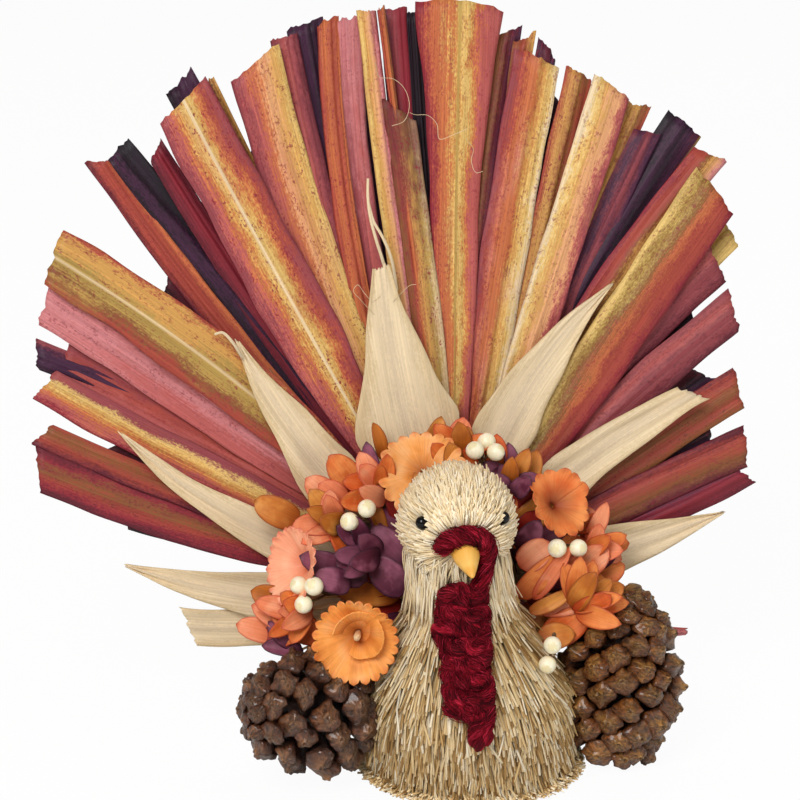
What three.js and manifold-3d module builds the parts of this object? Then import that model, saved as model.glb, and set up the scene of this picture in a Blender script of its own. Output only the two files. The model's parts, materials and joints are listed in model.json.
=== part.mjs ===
// Turkey figure of natural fibre, pine cones, shaved wood flowers and dyed husk, in mm, +Z up, front to -Y
import * as THREE from "three";
import { mergeVertices } from "three/addons/utils/BufferGeometryUtils.js";
import Module from "manifold-3d";

const wasm = await Module();
wasm.setup();

// Clearances
const GAP = 0.3; // left between pieces that are glued or pushed together
const BORE_GAP = 0.3; // left around a peg, pick or stem in its hole

// Body, a flared cone of bristle on a foam core whose axis leans to the left and forward
const BODY_HEIGHT = 76;
const SKIRT_RADIUS = 46.5;
const NECK_RADIUS = 21.5;
const SHOULDER_HEIGHT = 60; // middle of the slope from the skirt to the neck
const SHOULDER_RISE = 60; // height of that slope
const LEAN_LEFT = 6;
const LEAN_FORWARD = 9;
const FOOT_THICKNESS = 4;

// Head, a ball of bristle on a foam core
const HEAD_HEIGHT = 120.5;
const HEAD_RADIUS = 26;
const HEAD_CORE_RADIUS = 17.5;
const NECK_DROP = 25; // from the middle of the head to the top of the neck
const DOWEL_RADIUS = 5;
const DOWEL_DEPTH = 38; // into the neck
const EYE_RADIUS = 2.9;
const EYE_YAW = 52;
const EYE_PITCH = 13;
const BEAK_LENGTH = 20;
const BEAK_RADIUS = 6.6;
const BEAK_PITCH = -19;
const PEG_RADIUS = 2.4;
const PEG_LENGTH = 7;

// Bristles
const BRISTLE_DEPTH = 11;
const BACKING = 1.5;
const STRAND_DROP = 19;
const STRAND_TAPER = 0.36;
const STRAND_TUCK = 0.45; // inward for each mm that the floor cuts a strand short
const BRISTLE_SECTOR = 212;
const SKIRT_TOP = 42;
const BREAST_ROWS = 7;
const BREAST_COLUMNS = 22;
const SKIRT_ROWS = 3;
const SKIRT_COLUMNS = 32;
const SKIRT_BOTTOM = 20;
const HEAD_ROWS = 7;
const HEAD_COLUMNS = 20;
const HEAD_STRAND_SWEEP = 20;
const HEAD_STRAND_END = 152; // from the beak axis
const HEAD_SEAM = 22; // half angle left open under the chin for the neck

// Yarn
const YARN_RADIUS = 3.05;
const SNOOD_SEAT = 0.9; // yarn above the backing where it lies over the beak
const WATTLE_HALF_WIDTH = 10.2;
const WATTLE_OFFSET = -5.2; // folds hang a little left of the middle
const WATTLE_PASSES = 7;
const WATTLE_PITCH = 7.2;
const WATTLE_DROP = 25; // from the middle of the head to the first fold
const WATTLE_TAIL = 14; // below the last fold

// Tail, husk strips fanned from a hub on a board that leans back
const HUB_BACK = 42;
const HUB_HEIGHT = 70;
const TAIL_TILT = 12;
const TAIL_BOARD_RADIUS = 50;
const TAIL_BOARD_THICKNESS = 4;
const BOSS_RADIUS = 23;
const BOSS_DROP = 21;
const BOSS_DEPTH = 32;
const FAN_REACH = 259; // from the hub to the longest tip
const HUSK_ROOT = 29;
const HUSK_ROOT_WIDTH = 8;
const HUSK_THICKNESS = 0.9;
const HUSK_SAG = 0.0095; // crown of a strip per mm out from the root

// Flowers
const COLLAR_RADIUS = 46;
const COLLAR_SECTION = 8;
const COLLAR_SWEEP = 106;
const STEM_RADIUS = 1.2;
const STEM_DEPTH = 6;
const PETAL_THICKNESS = 1.3;
const PETAL_WIDTH = 11;
const TRUMPET_WALL = 1;
const TRUMPET_TEETH = 12;
const BERRY_RADIUS = 4;

// Pine cones
const CONE_PICK_RADIUS = 2;
const CONE_PICK_DEPTH = 8;
const LEFT_CONE = { radius: 29, length: 60, scales: 30, at: [-79.5, -11, 36], axis: [-0.9, -0.3, 0.3] };
const RIGHT_CONE = { radius: 30, length: 86, scales: 36, at: [68, -2, 46], axis: [0.16, 0.05, 0.98] };

// Dyed strips from the back of the tail to its front: bearing and lean in degrees, how far the tip falls short
// of the fan's reach, widths at the middle and tip, slant of the cut
const HUSKS = [
  { name: "husk_05", bearing: -58.1, lean: -3.9, short: 45, middle: 12, tip: 12, slant: 4, dye: "eggplant" },
  { name: "husk_09", bearing: -35.9, lean: -1.4, short: 13, middle: 17, tip: 17, slant: -6, dye: "eggplant" },
  { name: "husk_13", bearing: -12.9, lean: 2.8, short: 0, middle: 15, tip: 16, slant: 3, dye: "eggplant" },
  { name: "husk_25", bearing: 29.1, lean: 3.8, short: 28, middle: 18, tip: 18, slant: 3, dye: "eggplant" },
  { name: "husk_01", bearing: -71.2, lean: 4, short: 65, middle: 18, tip: 18, slant: -5, dye: "maroon" },
  { name: "husk_28", bearing: 41.8, lean: 4.9, short: 72, middle: 19, tip: 19, slant: 5, dye: "mauve" },
  { name: "husk_12", bearing: -15.4, lean: 3.5, short: 3, middle: 12, tip: 12, slant: 4, dye: "mauve" },
  { name: "husk_30", bearing: 58.7, lean: 0.7, short: 102, middle: 18, tip: 18, slant: 4, dye: "mauve" },
  { name: "husk_03", bearing: -60.9, lean: 2, short: 54, middle: 16, tip: 15, slant: -3, dye: "pink" },
  { name: "husk_06", bearing: -52.3, lean: -1.1, short: 35, middle: 20, tip: 20, slant: -4, dye: "mauve" },
  { name: "husk_11", bearing: -19.1, lean: 3.6, short: 9, middle: 22, tip: 23, slant: -4, dye: "rust" },
  { name: "husk_21", bearing: 10.9, lean: 0.5, short: 21, middle: 20, tip: 21, slant: 5, dye: "golden" },
  { name: "husk_26", bearing: 33.1, lean: 5, short: 35, middle: 15, tip: 15, slant: 5, dye: "rust" },
  { name: "husk_29", bearing: 48.3, lean: 3, short: 83, middle: 17, tip: 17, slant: 4, dye: "mauve" },
  { name: "husk_31", bearing: 68.1, lean: 0.2, short: 112, middle: 17, tip: 18, slant: 4, dye: "rust" },
  { name: "husk_07", bearing: -48, lean: -4, short: 26, middle: 25, tip: 24, slant: -8, dye: "olive" },
  { name: "husk_23", bearing: 19.4, lean: -0.1, short: 26, middle: 17, tip: 18, slant: 5, dye: "golden" },
  { name: "husk_27", bearing: 35.6, lean: 0.6, short: 48, middle: 24, tip: 25, slant: 4, dye: "olive" },
  { name: "husk_10", bearing: -27.4, lean: 0.9, short: 10, middle: 27, tip: 26, slant: -3, dye: "golden" },
  { name: "husk_19", bearing: 2.2, lean: 0.3, short: 2, middle: 20, tip: 38, slant: -4, dye: "golden" },
];

// Undyed leaves in front of the strips
const BRACTS = [
  { name: "bract_3", bearing: -62.4, lean: 10, short: 93, middle: 17, tip: 4, slant: 0, dye: "natural" },
  { name: "bract_5", bearing: -95.4, lean: 7, short: 138, middle: 16, tip: 15, slant: 3, dye: "natural" },
  { name: "bract_7", bearing: 53.7, lean: 5.9, short: 122, middle: 20, tip: 10, slant: 4, dye: "natural" },
  { name: "bract_2", bearing: -39.5, lean: 7, short: 110, middle: 25, tip: 4, slant: 0, dye: "natural" },
  { name: "bract_4", bearing: -83.2, lean: 8, short: 111, middle: 22, tip: 4, slant: 0, dye: "natural" },
  { name: "bract_8", bearing: 78.4, lean: -3.7, short: 133, middle: 23, tip: 4, slant: 0, dye: "natural" },
  { name: "bract_6", bearing: 29.1, lean: 10, short: 108, middle: 26, tip: 4, slant: 0, dye: "natural" },
  { name: "bract_1", bearing: -11.9, lean: 3.7, short: 111, middle: 39, tip: 7, slant: 0, dye: "natural" },
];

// Rolled shavings: bearing on the collar, tilts outward of stem and bloom, stem, rim radius and depth
const TRUMPETS = [
  { name: "low_left_trumpet", bearing: -102, out: 12, face: 14, stem: 22,
    radius: 19, depth: 13, stamen: 1, colour: "#d98a3a" },
  { name: "left_trumpet", bearing: -76, out: 62, face: 72, stem: 17,
    radius: 14, depth: 15, stamen: 0.4, colour: "#dd8a68" },
  { name: "top_trumpet", bearing: -17, out: 55, face: 24, stem: 3,
    radius: 18, depth: 10, stamen: 0.4, colour: "#d8883c" },
  { name: "right_trumpet", bearing: 46.5, out: 26, face: 32, stem: 7,
    radius: 16, depth: 11, stamen: 0.4, colour: "#d98f45" },
];

// Flat shavings: bearing on the collar, tilt outward, stem, count, spread and length of the petals
const SPRAYS = [
  { name: "top_left_petals", bearing: -38, out: 64, stem: 12,
    count: 4, spread: 42, petal: 19, colour: "#cf6f3c" },
  { name: "left_petals", bearing: -58, out: 66, stem: 21,
    count: 4, spread: 45, petal: 19, colour: "#d4804e" },
  { name: "low_left_petals", bearing: -92, out: 60, stem: 28,
    count: 4, spread: 48, petal: 19, colour: "#cc6b38" },
  { name: "top_petals", bearing: -1, out: 76, stem: 10,
    count: 4, spread: 44, petal: 17, colour: "#d4733c" },
  { name: "right_petals", bearing: 73, out: 62, stem: 12,
    count: 4, spread: 48, petal: 19, colour: "#d98a55" },
  { name: "low_right_petals", bearing: 92, out: 7, stem: 22,
    count: 6, spread: 64, petal: 21, colour: "#c9602f" },
  { name: "left_purple_petals", bearing: -64, out: 22, stem: 14,
    count: 4, spread: 60, petal: 18, colour: "#5c2c38" },
  { name: "right_purple_petals", bearing: 22.5, out: 40, stem: 8,
    count: 3, spread: 34, petal: 15, colour: "#5a2b3a" },
];

// Berries on wire: bearing on the collar, tilt outward, swing along the collar, wire, spacing of the berries
const SPRIGS = [
  { name: "top_berries", bearing: 8, out: 46, swing: 2, wire: 17, spacing: 9.5 },
  { name: "upper_left_berries", bearing: -51, out: 34, swing: 0, wire: 22, spacing: 9.5 },
  { name: "low_left_berries", bearing: -88, out: 40, swing: 6, wire: 34, spacing: 9.5 },
  { name: "right_berries", bearing: 66, out: 2, swing: -2, wire: 22, spacing: 9.5 },
  { name: "low_right_berries", bearing: 104, out: -13.5, swing: 16.3, wire: 46, spacing: 9.5 },
];

const DYES = {
  eggplant: "#4b2a30",
  maroon: "#6b3432",
  mauve: "#8a4f4b",
  pink: "#b06a55",
  rust: "#a2512f",
  golden: "#c08a3e",
  olive: "#a98445",
  natural: "#d9c79c",
};
const FIBRE = "#b98a4e";
const FOAM = "#8f7a52";
const WOOD = "#c7a16b";

// Helpers

const radians = THREE.MathUtils.degToRad;
const lerp = THREE.MathUtils.lerp;
const vec = (x = 0, y = 0, z = 0) => new THREE.Vector3(x, y, z);
const along = (count, from, to) => Array.from({ length: count + 1 }, (_, i) => lerp(from, to, i / count));

function piece(name, geometry, colour, roughness = 0.8) {
  const flat = geometry.index ? geometry : mergeVertices(geometry);
  flat.computeVertexNormals();
  const mesh = new THREE.Mesh(flat, new THREE.MeshStandardMaterial({ color: colour, roughness }));
  mesh.name = name;
  return mesh;
}

function group(name, children) {
  const made = new THREE.Group();
  made.name = name;
  made.add(...children);
  return made;
}

// Closed body from points and triangles, turned outward
function closed(points, triangles) {
  const volume = triangles.reduce((sum, [a, b, c]) => {
    return sum + points[a].dot(vec().crossVectors(points[b], points[c]));
  }, 0);
  const faces = volume < 0 ? triangles.map(([a, b, c]) => [a, c, b]) : triangles;
  const geometry = new THREE.BufferGeometry();
  geometry.setAttribute("position", new THREE.Float32BufferAttribute(points.flatMap((p) => p.toArray()), 3));
  geometry.setIndex(faces.flat());
  return geometry;
}

// Body through rings of equally many points, closed at both ends
function loft(rings) {
  const sides = rings[0].length;
  const last = (rings.length - 1) * sides;
  const triangles = [];
  for (let i = 0; i < last; i += sides) {
    for (let j = 0; j < sides; j++) {
      const k = (j + 1) % sides;
      triangles.push([i + j, i + k, i + sides + k], [i + j, i + sides + k, i + sides + j]);
    }
  }
  for (let j = 1; j + 1 < sides; j++) {
    triangles.push([0, j + 1, j], [last, last + j, last + j + 1]);
  }
  return closed(rings.flat(), triangles);
}

// Sheet between a front and a back grid of points, joined along its edges; a wrapped sheet closes on itself.
// Where grow gives a tip for a cell, half of that cell becomes the root of a tapered strand.
function sheet(front, back, wrapped = false, grow = () => null) {
  const rows = front.length;
  const columns = front[0].length;
  const size = rows * columns;
  const points = [...front.flat(), ...back.flat()];
  const triangles = [];
  const quad = (a, b, c, d) => triangles.push([a, b, c], [a, c, d]);
  const spans = wrapped ? columns : columns - 1;
  const strand = (root, tip) => {
    const corners = root.map((i) => points[i]);
    const middle = corners.reduce((sum, p) => sum.add(p), vec()).divideScalar(3);
    const ends = corners.map((p) => p.clone().sub(middle).multiplyScalar(STRAND_TAPER).add(tip));
    const end = ends.map((p) => points.push(p) - 1);
    [[0, 1], [1, 2], [2, 0]].forEach(([i, j]) => quad(root[i], root[j], end[j], end[i]));
    triangles.push(end);
  };
  for (let i = 0; i + 1 < rows; i++) {
    for (let j = 0; j < spans; j++) {
      const k = (j + 1) % columns;
      const [a, b, c, d] = [i * columns + j, i * columns + k, (i + 1) * columns + k, (i + 1) * columns + j];
      const tip = grow(i, j);
      triangles.push([a, b, c]);
      if (tip) {
        strand([a, c, d], tip);
      } else {
        triangles.push([a, c, d]);
      }
      quad(size + d, size + c, size + b, size + a);
    }
  }
  for (let j = 0; j < spans; j++) {
    const k = (j + 1) % columns;
    const end = size - columns;
    quad(k, j, size + j, size + k);
    quad(end + j, end + k, size + end + k, size + end + j);
  }
  for (let i = 0; i + 1 < rows && !wrapped; i++) {
    const [a, b] = [i * columns, (i + 1) * columns];
    const [c, d] = [a + columns - 1, b + columns - 1];
    quad(a, b, size + b, size + a);
    quad(d, c, size + c, size + d);
  }
  return closed(points, triangles);
}

function solid(geometry) {
  const bare = new THREE.BufferGeometry();
  bare.setAttribute("position", geometry.getAttribute("position").clone());
  bare.setIndex(geometry.index ? geometry.index.clone() : null);
  const merged = mergeVertices(bare, 1e-4);
  return new wasm.Manifold(new wasm.Mesh({
    numProp: 3,
    vertProperties: new Float32Array(merged.getAttribute("position").array),
    triVerts: new Uint32Array(merged.index.array),
  }));
}

function shape(body) {
  const mesh = body.getMesh();
  const geometry = new THREE.BufferGeometry();
  geometry.setAttribute("position", new THREE.BufferAttribute(new Float32Array(mesh.vertProperties), 3));
  geometry.setIndex(new THREE.BufferAttribute(new Uint32Array(mesh.triVerts), 1));
  return geometry;
}

// Largest shell of a body, without the pockets that joined pieces can close off
function outerShell(body) {
  return body.decompose().reduce((best, next) => (next.volume() > best.volume() ? next : best));
}

const joined = (geometries) => geometries.map(solid).reduce((whole, next) => whole.add(next));

function turned(profile, sides) {
  const lathe = new THREE.LatheGeometry(profile.map(([r, z]) => new THREE.Vector2(r, z)), sides);
  return lathe.rotateX(Math.PI / 2);
}

// Straight round rod between two points
function rod(from, to, radius, sides = 4) {
  const along = vec().subVectors(to, from);
  const turn = new THREE.Quaternion().setFromUnitVectors(vec(0, 0, 1), along.clone().normalize());
  const ring = (centre) => Array.from({ length: sides }, (_, i) => {
    const a = (2 * Math.PI * i) / sides;
    return vec(radius * Math.cos(a), radius * Math.sin(a), 0).applyQuaternion(turn).add(centre);
  });
  return loft([ring(from), ring(to)]);
}

// Body axis and outline

const leanAt = (z) => vec((-LEAN_LEFT * z) / BODY_HEIGHT, (-LEAN_FORWARD * z) / BODY_HEIGHT, z);
const shear = new THREE.Matrix4().makeShear(0, 0, 0, 0, leanAt(1).x, leanAt(1).y);
const head = leanAt(HEAD_HEIGHT);
const neckTop = HEAD_HEIGHT - NECK_DROP;

function outlineRadius(z) {
  const half = SHOULDER_RISE / 2;
  return lerp(NECK_RADIUS, SKIRT_RADIUS, THREE.MathUtils.smoothstep(SHOULDER_HEIGHT - z, -half, half));
}

const coreRadius = (z) => outlineRadius(z) - BRISTLE_DEPTH;
const coreFloor = FOOT_THICKNESS + GAP;
const footRadius = SKIRT_RADIUS - BRISTLE_DEPTH;

// Tail frame: x across, z up the leaning board, y back through it

const tail = new THREE.Group();
tail.name = "tail";
tail.position.set(0, HUB_BACK, HUB_HEIGHT);
tail.rotation.x = -radians(TAIL_TILT);
tail.updateMatrixWorld(true);
const inTail = (across, up, front) => vec(across, -front, up);

const crownAt = (r) => HUSK_SAG * Math.max(r - HUSK_ROOT, 0);
const layerAt = (r) => crownAt(r) + HUSK_THICKNESS + GAP + 0.1;

// Stacking of the husks: each lies on those before it that it crosses

const leaves = [...HUSKS, ...BRACTS].map((leaf) => ({ ...leaf, reach: FAN_REACH - leaf.short }));
const bearingAt = (leaf, r) => leaf.bearing - (2 * leaf.lean * (leaf.reach - r)) / leaf.reach;

function widthAt(leaf, r) {
  const t = (r - HUSK_ROOT) / (leaf.reach - HUSK_ROOT);
  const [belly, taper] = leaf.dye === "natural" ? [0.4, 1] : [0.5, 2];
  if (t < belly) {
    return lerp(HUSK_ROOT_WIDTH, leaf.middle, THREE.MathUtils.smoothstep(t, 0, belly));
  }
  return lerp(leaf.middle, leaf.tip, ((t - belly) / (1 - belly)) ** taper);
}

function crosses(one, other) {
  const end = Math.min(one.reach + Math.abs(one.slant), other.reach + Math.abs(other.slant));
  for (let r = HUSK_ROOT; r <= end; r += 2) {
    const apart = radians(Math.abs(bearingAt(one, r) - bearingAt(other, r))) * r;
    if (apart < (widthAt(one, r) + widthAt(other, r)) / 2 + 2 * GAP) {
      return true;
    }
  }
  return false;
}

const layers = [];
leaves.forEach((leaf, i) => {
  const below = layers.filter((_, j) => crosses(leaf, leaves[j]));
  layers.push(below.length ? Math.max(...below) + 1 : 0);
});
const topLayer = Math.max(...layers);

const collarLift = GAP + (topLayer + 1) * layerAt(COLLAR_RADIUS + COLLAR_SECTION) + COLLAR_SECTION;

function leafGeometry(leaf, layer) {
  const face = (lift) => [0, 0.22, 0.42, 0.7, 1].map((t) => [-1, -0.5, 0, 0.5, 1].map((c) => {
    const reach = leaf.reach + c * leaf.slant * t ** 4;
    const r = lerp(HUSK_ROOT, reach, t);
    const bearing = radians(bearingAt(leaf, r));
    const offset = (c * widthAt(leaf, Math.min(r, leaf.reach))) / 2;
    const across = r * Math.sin(bearing) + offset * Math.cos(bearing);
    const up = r * Math.cos(bearing) - offset * Math.sin(bearing);
    const out = Math.hypot(across, up);
    return inTail(across, up, GAP + layer * layerAt(out) + crownAt(out) * (1 - c * c) + lift);
  }));
  return sheet(face(HUSK_THICKNESS), face(0));
}

// Foam, boards and dowel

const boss = rod(inTail(0, -BOSS_DROP, GAP), inTail(0, -BOSS_DROP, BOSS_DEPTH), BOSS_RADIUS, 20)
  .applyMatrix4(tail.matrixWorld);
const backSpace = new THREE.BoxGeometry(600, 300, 600)
  .translate(0, 150 - collarLift + COLLAR_SECTION, 0)
  .applyMatrix4(tail.matrixWorld);

const breastHeights = along(BREAST_ROWS, neckTop, SKIRT_TOP + 5 * GAP);
const skirtHeights = along(SKIRT_ROWS, SKIRT_TOP, SKIRT_BOTTOM);
const coreSteps = [...breastHeights, ...skirtHeights, coreFloor].reverse();
const coreProfile = [[0, coreFloor], ...coreSteps.map((z) => [coreRadius(z), z]), [0, neckTop]];
const dowelFoot = leanAt(neckTop - DOWEL_DEPTH);
const dowelTop = leanAt(HEAD_HEIGHT - HEAD_CORE_RADIUS / 4);
const dowelRoom = rod(dowelFoot.clone().setZ(dowelFoot.z - GAP), dowelTop.clone().setZ(dowelTop.z + GAP),
  DOWEL_RADIUS + BORE_GAP, 12);

// Beak and eyes

const faceTurn = new THREE.Euler(radians(90 - BEAK_PITCH), 0, 0);
const faceAxis = vec(0, 0, 1).applyEuler(faceTurn);
const shellRadius = HEAD_CORE_RADIUS + 2 * GAP + BACKING;
const beakSeat = HEAD_CORE_RADIUS + GAP + 0.8;
const beakProfile = [
  [0, beakSeat - PEG_LENGTH], [PEG_RADIUS, beakSeat - PEG_LENGTH], [PEG_RADIUS, beakSeat],
  [BEAK_RADIUS, beakSeat], [BEAK_RADIUS * 0.86, beakSeat + BEAK_LENGTH * 0.35],
  [BEAK_RADIUS * 0.52, beakSeat + BEAK_LENGTH * 0.7], [BEAK_RADIUS * 0.2, beakSeat + BEAK_LENGTH * 0.96],
  [0, beakSeat + BEAK_LENGTH],
];
const placeFace = (geometry) => geometry.rotateX(faceTurn.x).translate(head.x, head.y, head.z);
const beak = placeFace(turned(beakProfile, 12));
const pegRoom = placeFace(turned([
  [0, beakSeat - PEG_LENGTH - GAP], [PEG_RADIUS + BORE_GAP, beakSeat - PEG_LENGTH - GAP],
  [PEG_RADIUS + BORE_GAP, HEAD_RADIUS], [0, HEAD_RADIUS],
], 16));
const eyes = [-1, 1].map((side) => {
  const yaw = radians(EYE_YAW) * side;
  const pitch = radians(EYE_PITCH);
  const look = vec(Math.sin(yaw) * Math.cos(pitch), -Math.cos(yaw) * Math.cos(pitch), Math.sin(pitch));
  return look.multiplyScalar(shellRadius + GAP + EYE_RADIUS).add(head);
});
const eyeGeometry = (at) => new THREE.SphereGeometry(EYE_RADIUS, 10, 6).translate(at.x, at.y, at.z);

// Pine cones

function conePlacement(cone) {
  const axis = vec(...cone.axis).normalize();
  const turn = new THREE.Quaternion().setFromUnitVectors(vec(0, 0, 1), axis);
  const base = vec(...cone.at).addScaledVector(axis, -cone.length / 2);
  return { axis, base, matrix: new THREE.Matrix4().compose(base, turn, vec(1, 1, 1)) };
}

// Pick from the cone's spindle straight toward the body axis, ending inside the foam
function pickRod(cone, radius, extra) {
  const { axis, base } = conePlacement(cone);
  const start = base.clone().addScaledVector(axis, cone.length * 0.3);
  const centre = leanAt(start.z);
  const away = vec().subVectors(start, centre);
  const depth = coreRadius(start.z) - CONE_PICK_DEPTH - extra;
  return rod(centre.addScaledVector(away.normalize(), depth), start, radius, 8);
}

// One scale along +X: a thin stalk that opens into a thick rhombic end with a point
function scaleGeometry(reach, width, height) {
  const steps = [[0, 0.3, 0.2], [0.6, 0.56, 0.32], [0.84, 1, 1], [1.02, 0.34, 0.34]];
  return loft(steps.map(([t, w, h]) => [[0, 1], [1, 0.1], [0, -0.8], [-1, 0.1]].map(([y, z]) => {
    return vec(t * reach, (y === 0 ? z * h * height : 0) / 2, (y * w * width) / 2);
  }))).rotateX(Math.PI / 2);
}

function pineConeGeometry(cone) {
  const { matrix } = conePlacement(cone);
  const spindle = turned([
    [0, 0], [cone.radius * 0.2, 0], [cone.radius * 0.27, cone.length * 0.25],
    [cone.radius * 0.16, cone.length * 0.75], [0, cone.length * 0.9],
  ], 8);
  const parts = [spindle];
  for (let i = 0; i < cone.scales; i++) {
    const t = (i + 0.5) / cone.scales;
    const girth = Math.sin(Math.PI * lerp(0.26, 0.93, t)) ** 0.8;
    const rise = radians(lerp(-8, 74, t ** 1.25));
    const size = lerp(1, 0.7, t);
    const scale = scaleGeometry(cone.radius * girth, cone.radius * 0.6 * size, cone.radius * 0.46 * size);
    scale.rotateY(-rise).rotateZ(i * radians(137.5)).translate(0, 0, cone.length * lerp(0.08, 0.78, t));
    parts.push(scale);
  }
  const whole = parts.map((part) => solid(part.applyMatrix4(matrix))).reduce((sum, next) => sum.add(next));
  return outerShell(whole.add(solid(pickRod(cone, CONE_PICK_RADIUS, 0))));
}

const cones = [LEFT_CONE, RIGHT_CONE];
const pickRooms = cones.map((cone) => solid(pickRod(cone, CONE_PICK_RADIUS + BORE_GAP, GAP)));

// Foam core with its boss and holes

const bodyCore = solid(turned(coreProfile, 24).applyMatrix4(shear))
  .subtract(solid(backSpace))
  .add(solid(boss))
  .subtract(solid(dowelRoom))
  .subtract(pickRooms[0])
  .subtract(pickRooms[1]);
const headCore = solid(new THREE.SphereGeometry(HEAD_CORE_RADIUS, 14, 10).translate(head.x, head.y, head.z))
  .subtract(solid(dowelRoom))
  .subtract(solid(pegRoom));

// Bristles: strands in rows on a backing, each row lying over the row below

// A strand is left out where a cone or its pick takes its place
function nearCone(tip, root) {
  const strand = new THREE.Line3(root, tip);
  return cones.some((cone) => {
    const { axis, base } = conePlacement(cone);
    const spine = new THREE.Line3(base, base.clone().addScaledVector(axis, cone.length));
    if (spine.closestPointToPoint(tip, true, vec()).distanceTo(tip) < cone.radius + GAP) {
      return true;
    }
    const start = base.clone().addScaledVector(axis, cone.length * 0.3);
    return along(20, 0.3, 1).some((t) => {
      const p = leanAt(start.z).lerp(start, t);
      return strand.closestPointToPoint(p, true, vec()).distanceTo(p) < CONE_PICK_RADIUS + 2.5;
    });
  });
}

function bodyBristles(heights, columns) {
  const turns = along(columns, -BRISTLE_SECTOR / 2, BRISTLE_SECTOR / 2).map(radians);
  const at = (r, turn, z) => vec(r * Math.sin(turn), -r * Math.cos(turn), z).applyMatrix4(shear);
  const grid = (depth) => heights.map((z) => turns.map((turn) => at(coreRadius(z) + GAP + depth, turn, z)));
  const backing = grid(BACKING);
  const grow = (i, j) => {
    const height = Math.max(heights[i + 1] - STRAND_DROP, 1.5);
    const tuck = STRAND_TUCK * (height - heights[i + 1] + STRAND_DROP);
    const turn = lerp(turns[j], turns[j + 1], i % 2 ? 0.3 : 0.6);
    const tip = at(outlineRadius(height) - 1.2 - tuck, turn, height);
    return nearCone(tip, backing[i + 1][j]) ? null : tip;
  };
  return solid(sheet(backing, grid(0), false, grow)).subtract(pickRooms[0]).subtract(pickRooms[1]);
}

function headBristles() {
  const polars = along(HEAD_ROWS, 24, 150).map(radians);
  const turns = along(HEAD_COLUMNS, HEAD_SEAM, 360 - HEAD_SEAM).map(radians);
  const face = new THREE.Quaternion().setFromUnitVectors(vec(0, 1, 0), faceAxis);
  const at = (r, polar, turn) => {
    return vec().setFromSphericalCoords(r, polar, turn).applyQuaternion(face).add(head);
  };
  const grid = (r) => polars.map((polar) => turns.map((turn) => at(r, polar, turn)));
  const backing = grid(shellRadius);
  const neck = new THREE.Line3(leanAt(neckTop - STRAND_DROP), leanAt(neckTop));
  const away = (target, p) => target.closestPointToPoint(p, true, vec()).distanceTo(p);
  const grow = (i, j) => {
    const turn = lerp(turns[j], turns[j + 1], i % 2 ? 0.3 : 0.6);
    const polar = polars[i + 1] + radians(HEAD_STRAND_SWEEP);
    const tip = at(HEAD_RADIUS - 1, polar, turn);
    const strand = new THREE.Line3(backing[i][j], tip);
    const clearOfEyes = eyes.every((eye) => away(strand, eye) > EYE_RADIUS + 2);
    const clearOfNeck = along(4, 0, 1).every((t) => away(neck, strand.at(t, vec())) > NECK_RADIUS);
    return clearOfEyes && clearOfNeck && polar < radians(HEAD_STRAND_END) ? tip : null;
  };
  return sheet(backing, grid(HEAD_CORE_RADIUS + 2 * GAP), false, grow);
}

// Yarn: over the beak, down the right of the face and in folds down the breast

function onHead(across, up) {
  const r = shellRadius + SNOOD_SEAT + YARN_RADIUS;
  return vec(head.x + across, head.y - Math.sqrt(r * r - across * across - up * up), head.z + up);
}

function onBreast(across, z, lift = 0) {
  const slope = (outlineRadius(z - 1) - outlineRadius(z + 1)) / 2;
  const r = outlineRadius(z) + (YARN_RADIUS + 2 * GAP) * Math.hypot(1, slope) + lift;
  const centre = leanAt(z);
  const aside = WATTLE_OFFSET + across;
  return vec(centre.x + aside, centre.y - Math.sqrt(r * r - aside * aside), z);
}

function yarnPath() {
  const wattleTop = HEAD_HEIGHT - WATTLE_DROP;
  const overBeak = [
    [-11, -4], [-9.8, 0.6], [-6, 3.6], [-0.6, 4.4], [4.8, 3.6], [9, 0.3], [11, -5], [11.4, -12],
  ];
  const points = overBeak.map(([across, up]) => onHead(across, up));
  for (let pass = 0; pass < WATTLE_PASSES; pass++) {
    const z = wattleTop - pass * WATTLE_PITCH;
    const side = pass % 2 ? -1 : 1;
    for (const t of [0.8, 0.4, 0, -0.4, -0.8]) {
      points.push(onBreast(side * t * WATTLE_HALF_WIDTH, z, 2.2 * (1 - t * t)));
    }
    points.push(onBreast(-side * (WATTLE_HALF_WIDTH + 1), z - WATTLE_PITCH / 2));
  }
  const side = WATTLE_PASSES % 2 ? -1 : 1;
  const low = wattleTop - WATTLE_PASSES * WATTLE_PITCH;
  points.push(onBreast(side * WATTLE_HALF_WIDTH * 0.5, low - 0.5, 1.5));
  points.push(onBreast(-side * WATTLE_HALF_WIDTH * 0.3, low - WATTLE_TAIL * 0.4, 2));
  points.push(onBreast(-side * WATTLE_HALF_WIDTH * 0.3, low - WATTLE_TAIL, 2));
  return new THREE.CatmullRomCurve3(points, false, "centripetal");
}

const yarnCurve = yarnPath();
const yarnSteps = 92;
const yarnSection = new THREE.Shape(Array.from({ length: 6 }, (_, i) => {
  const a = (2 * Math.PI * i) / 6;
  return new THREE.Vector2(YARN_RADIUS * Math.cos(a), YARN_RADIUS * Math.sin(a));
}));
const yarnCourse = { steps: yarnSteps, extrudePath: yarnCurve, bevelEnabled: false };
const yarn = new THREE.ExtrudeGeometry(yarnSection, yarnCourse);

function leastYarnGap() {
  const points = yarnCurve.getSpacedPoints(400);
  const step = yarnCurve.getLength() / 400;
  const skip = Math.ceil((Math.PI * 2.2 * YARN_RADIUS) / step);
  let least = Infinity;
  for (let i = 0; i < points.length; i++) {
    for (let j = i + skip; j < points.length; j++) {
      least = Math.min(least, points[i].distanceTo(points[j]));
    }
  }
  return least - 2 * YARN_RADIUS;
}

// Flowers on the collar

function collarPoint(bearing) {
  const a = radians(bearing);
  return inTail(COLLAR_RADIUS * Math.sin(a), COLLAR_RADIUS * Math.cos(a), collarLift);
}

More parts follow.
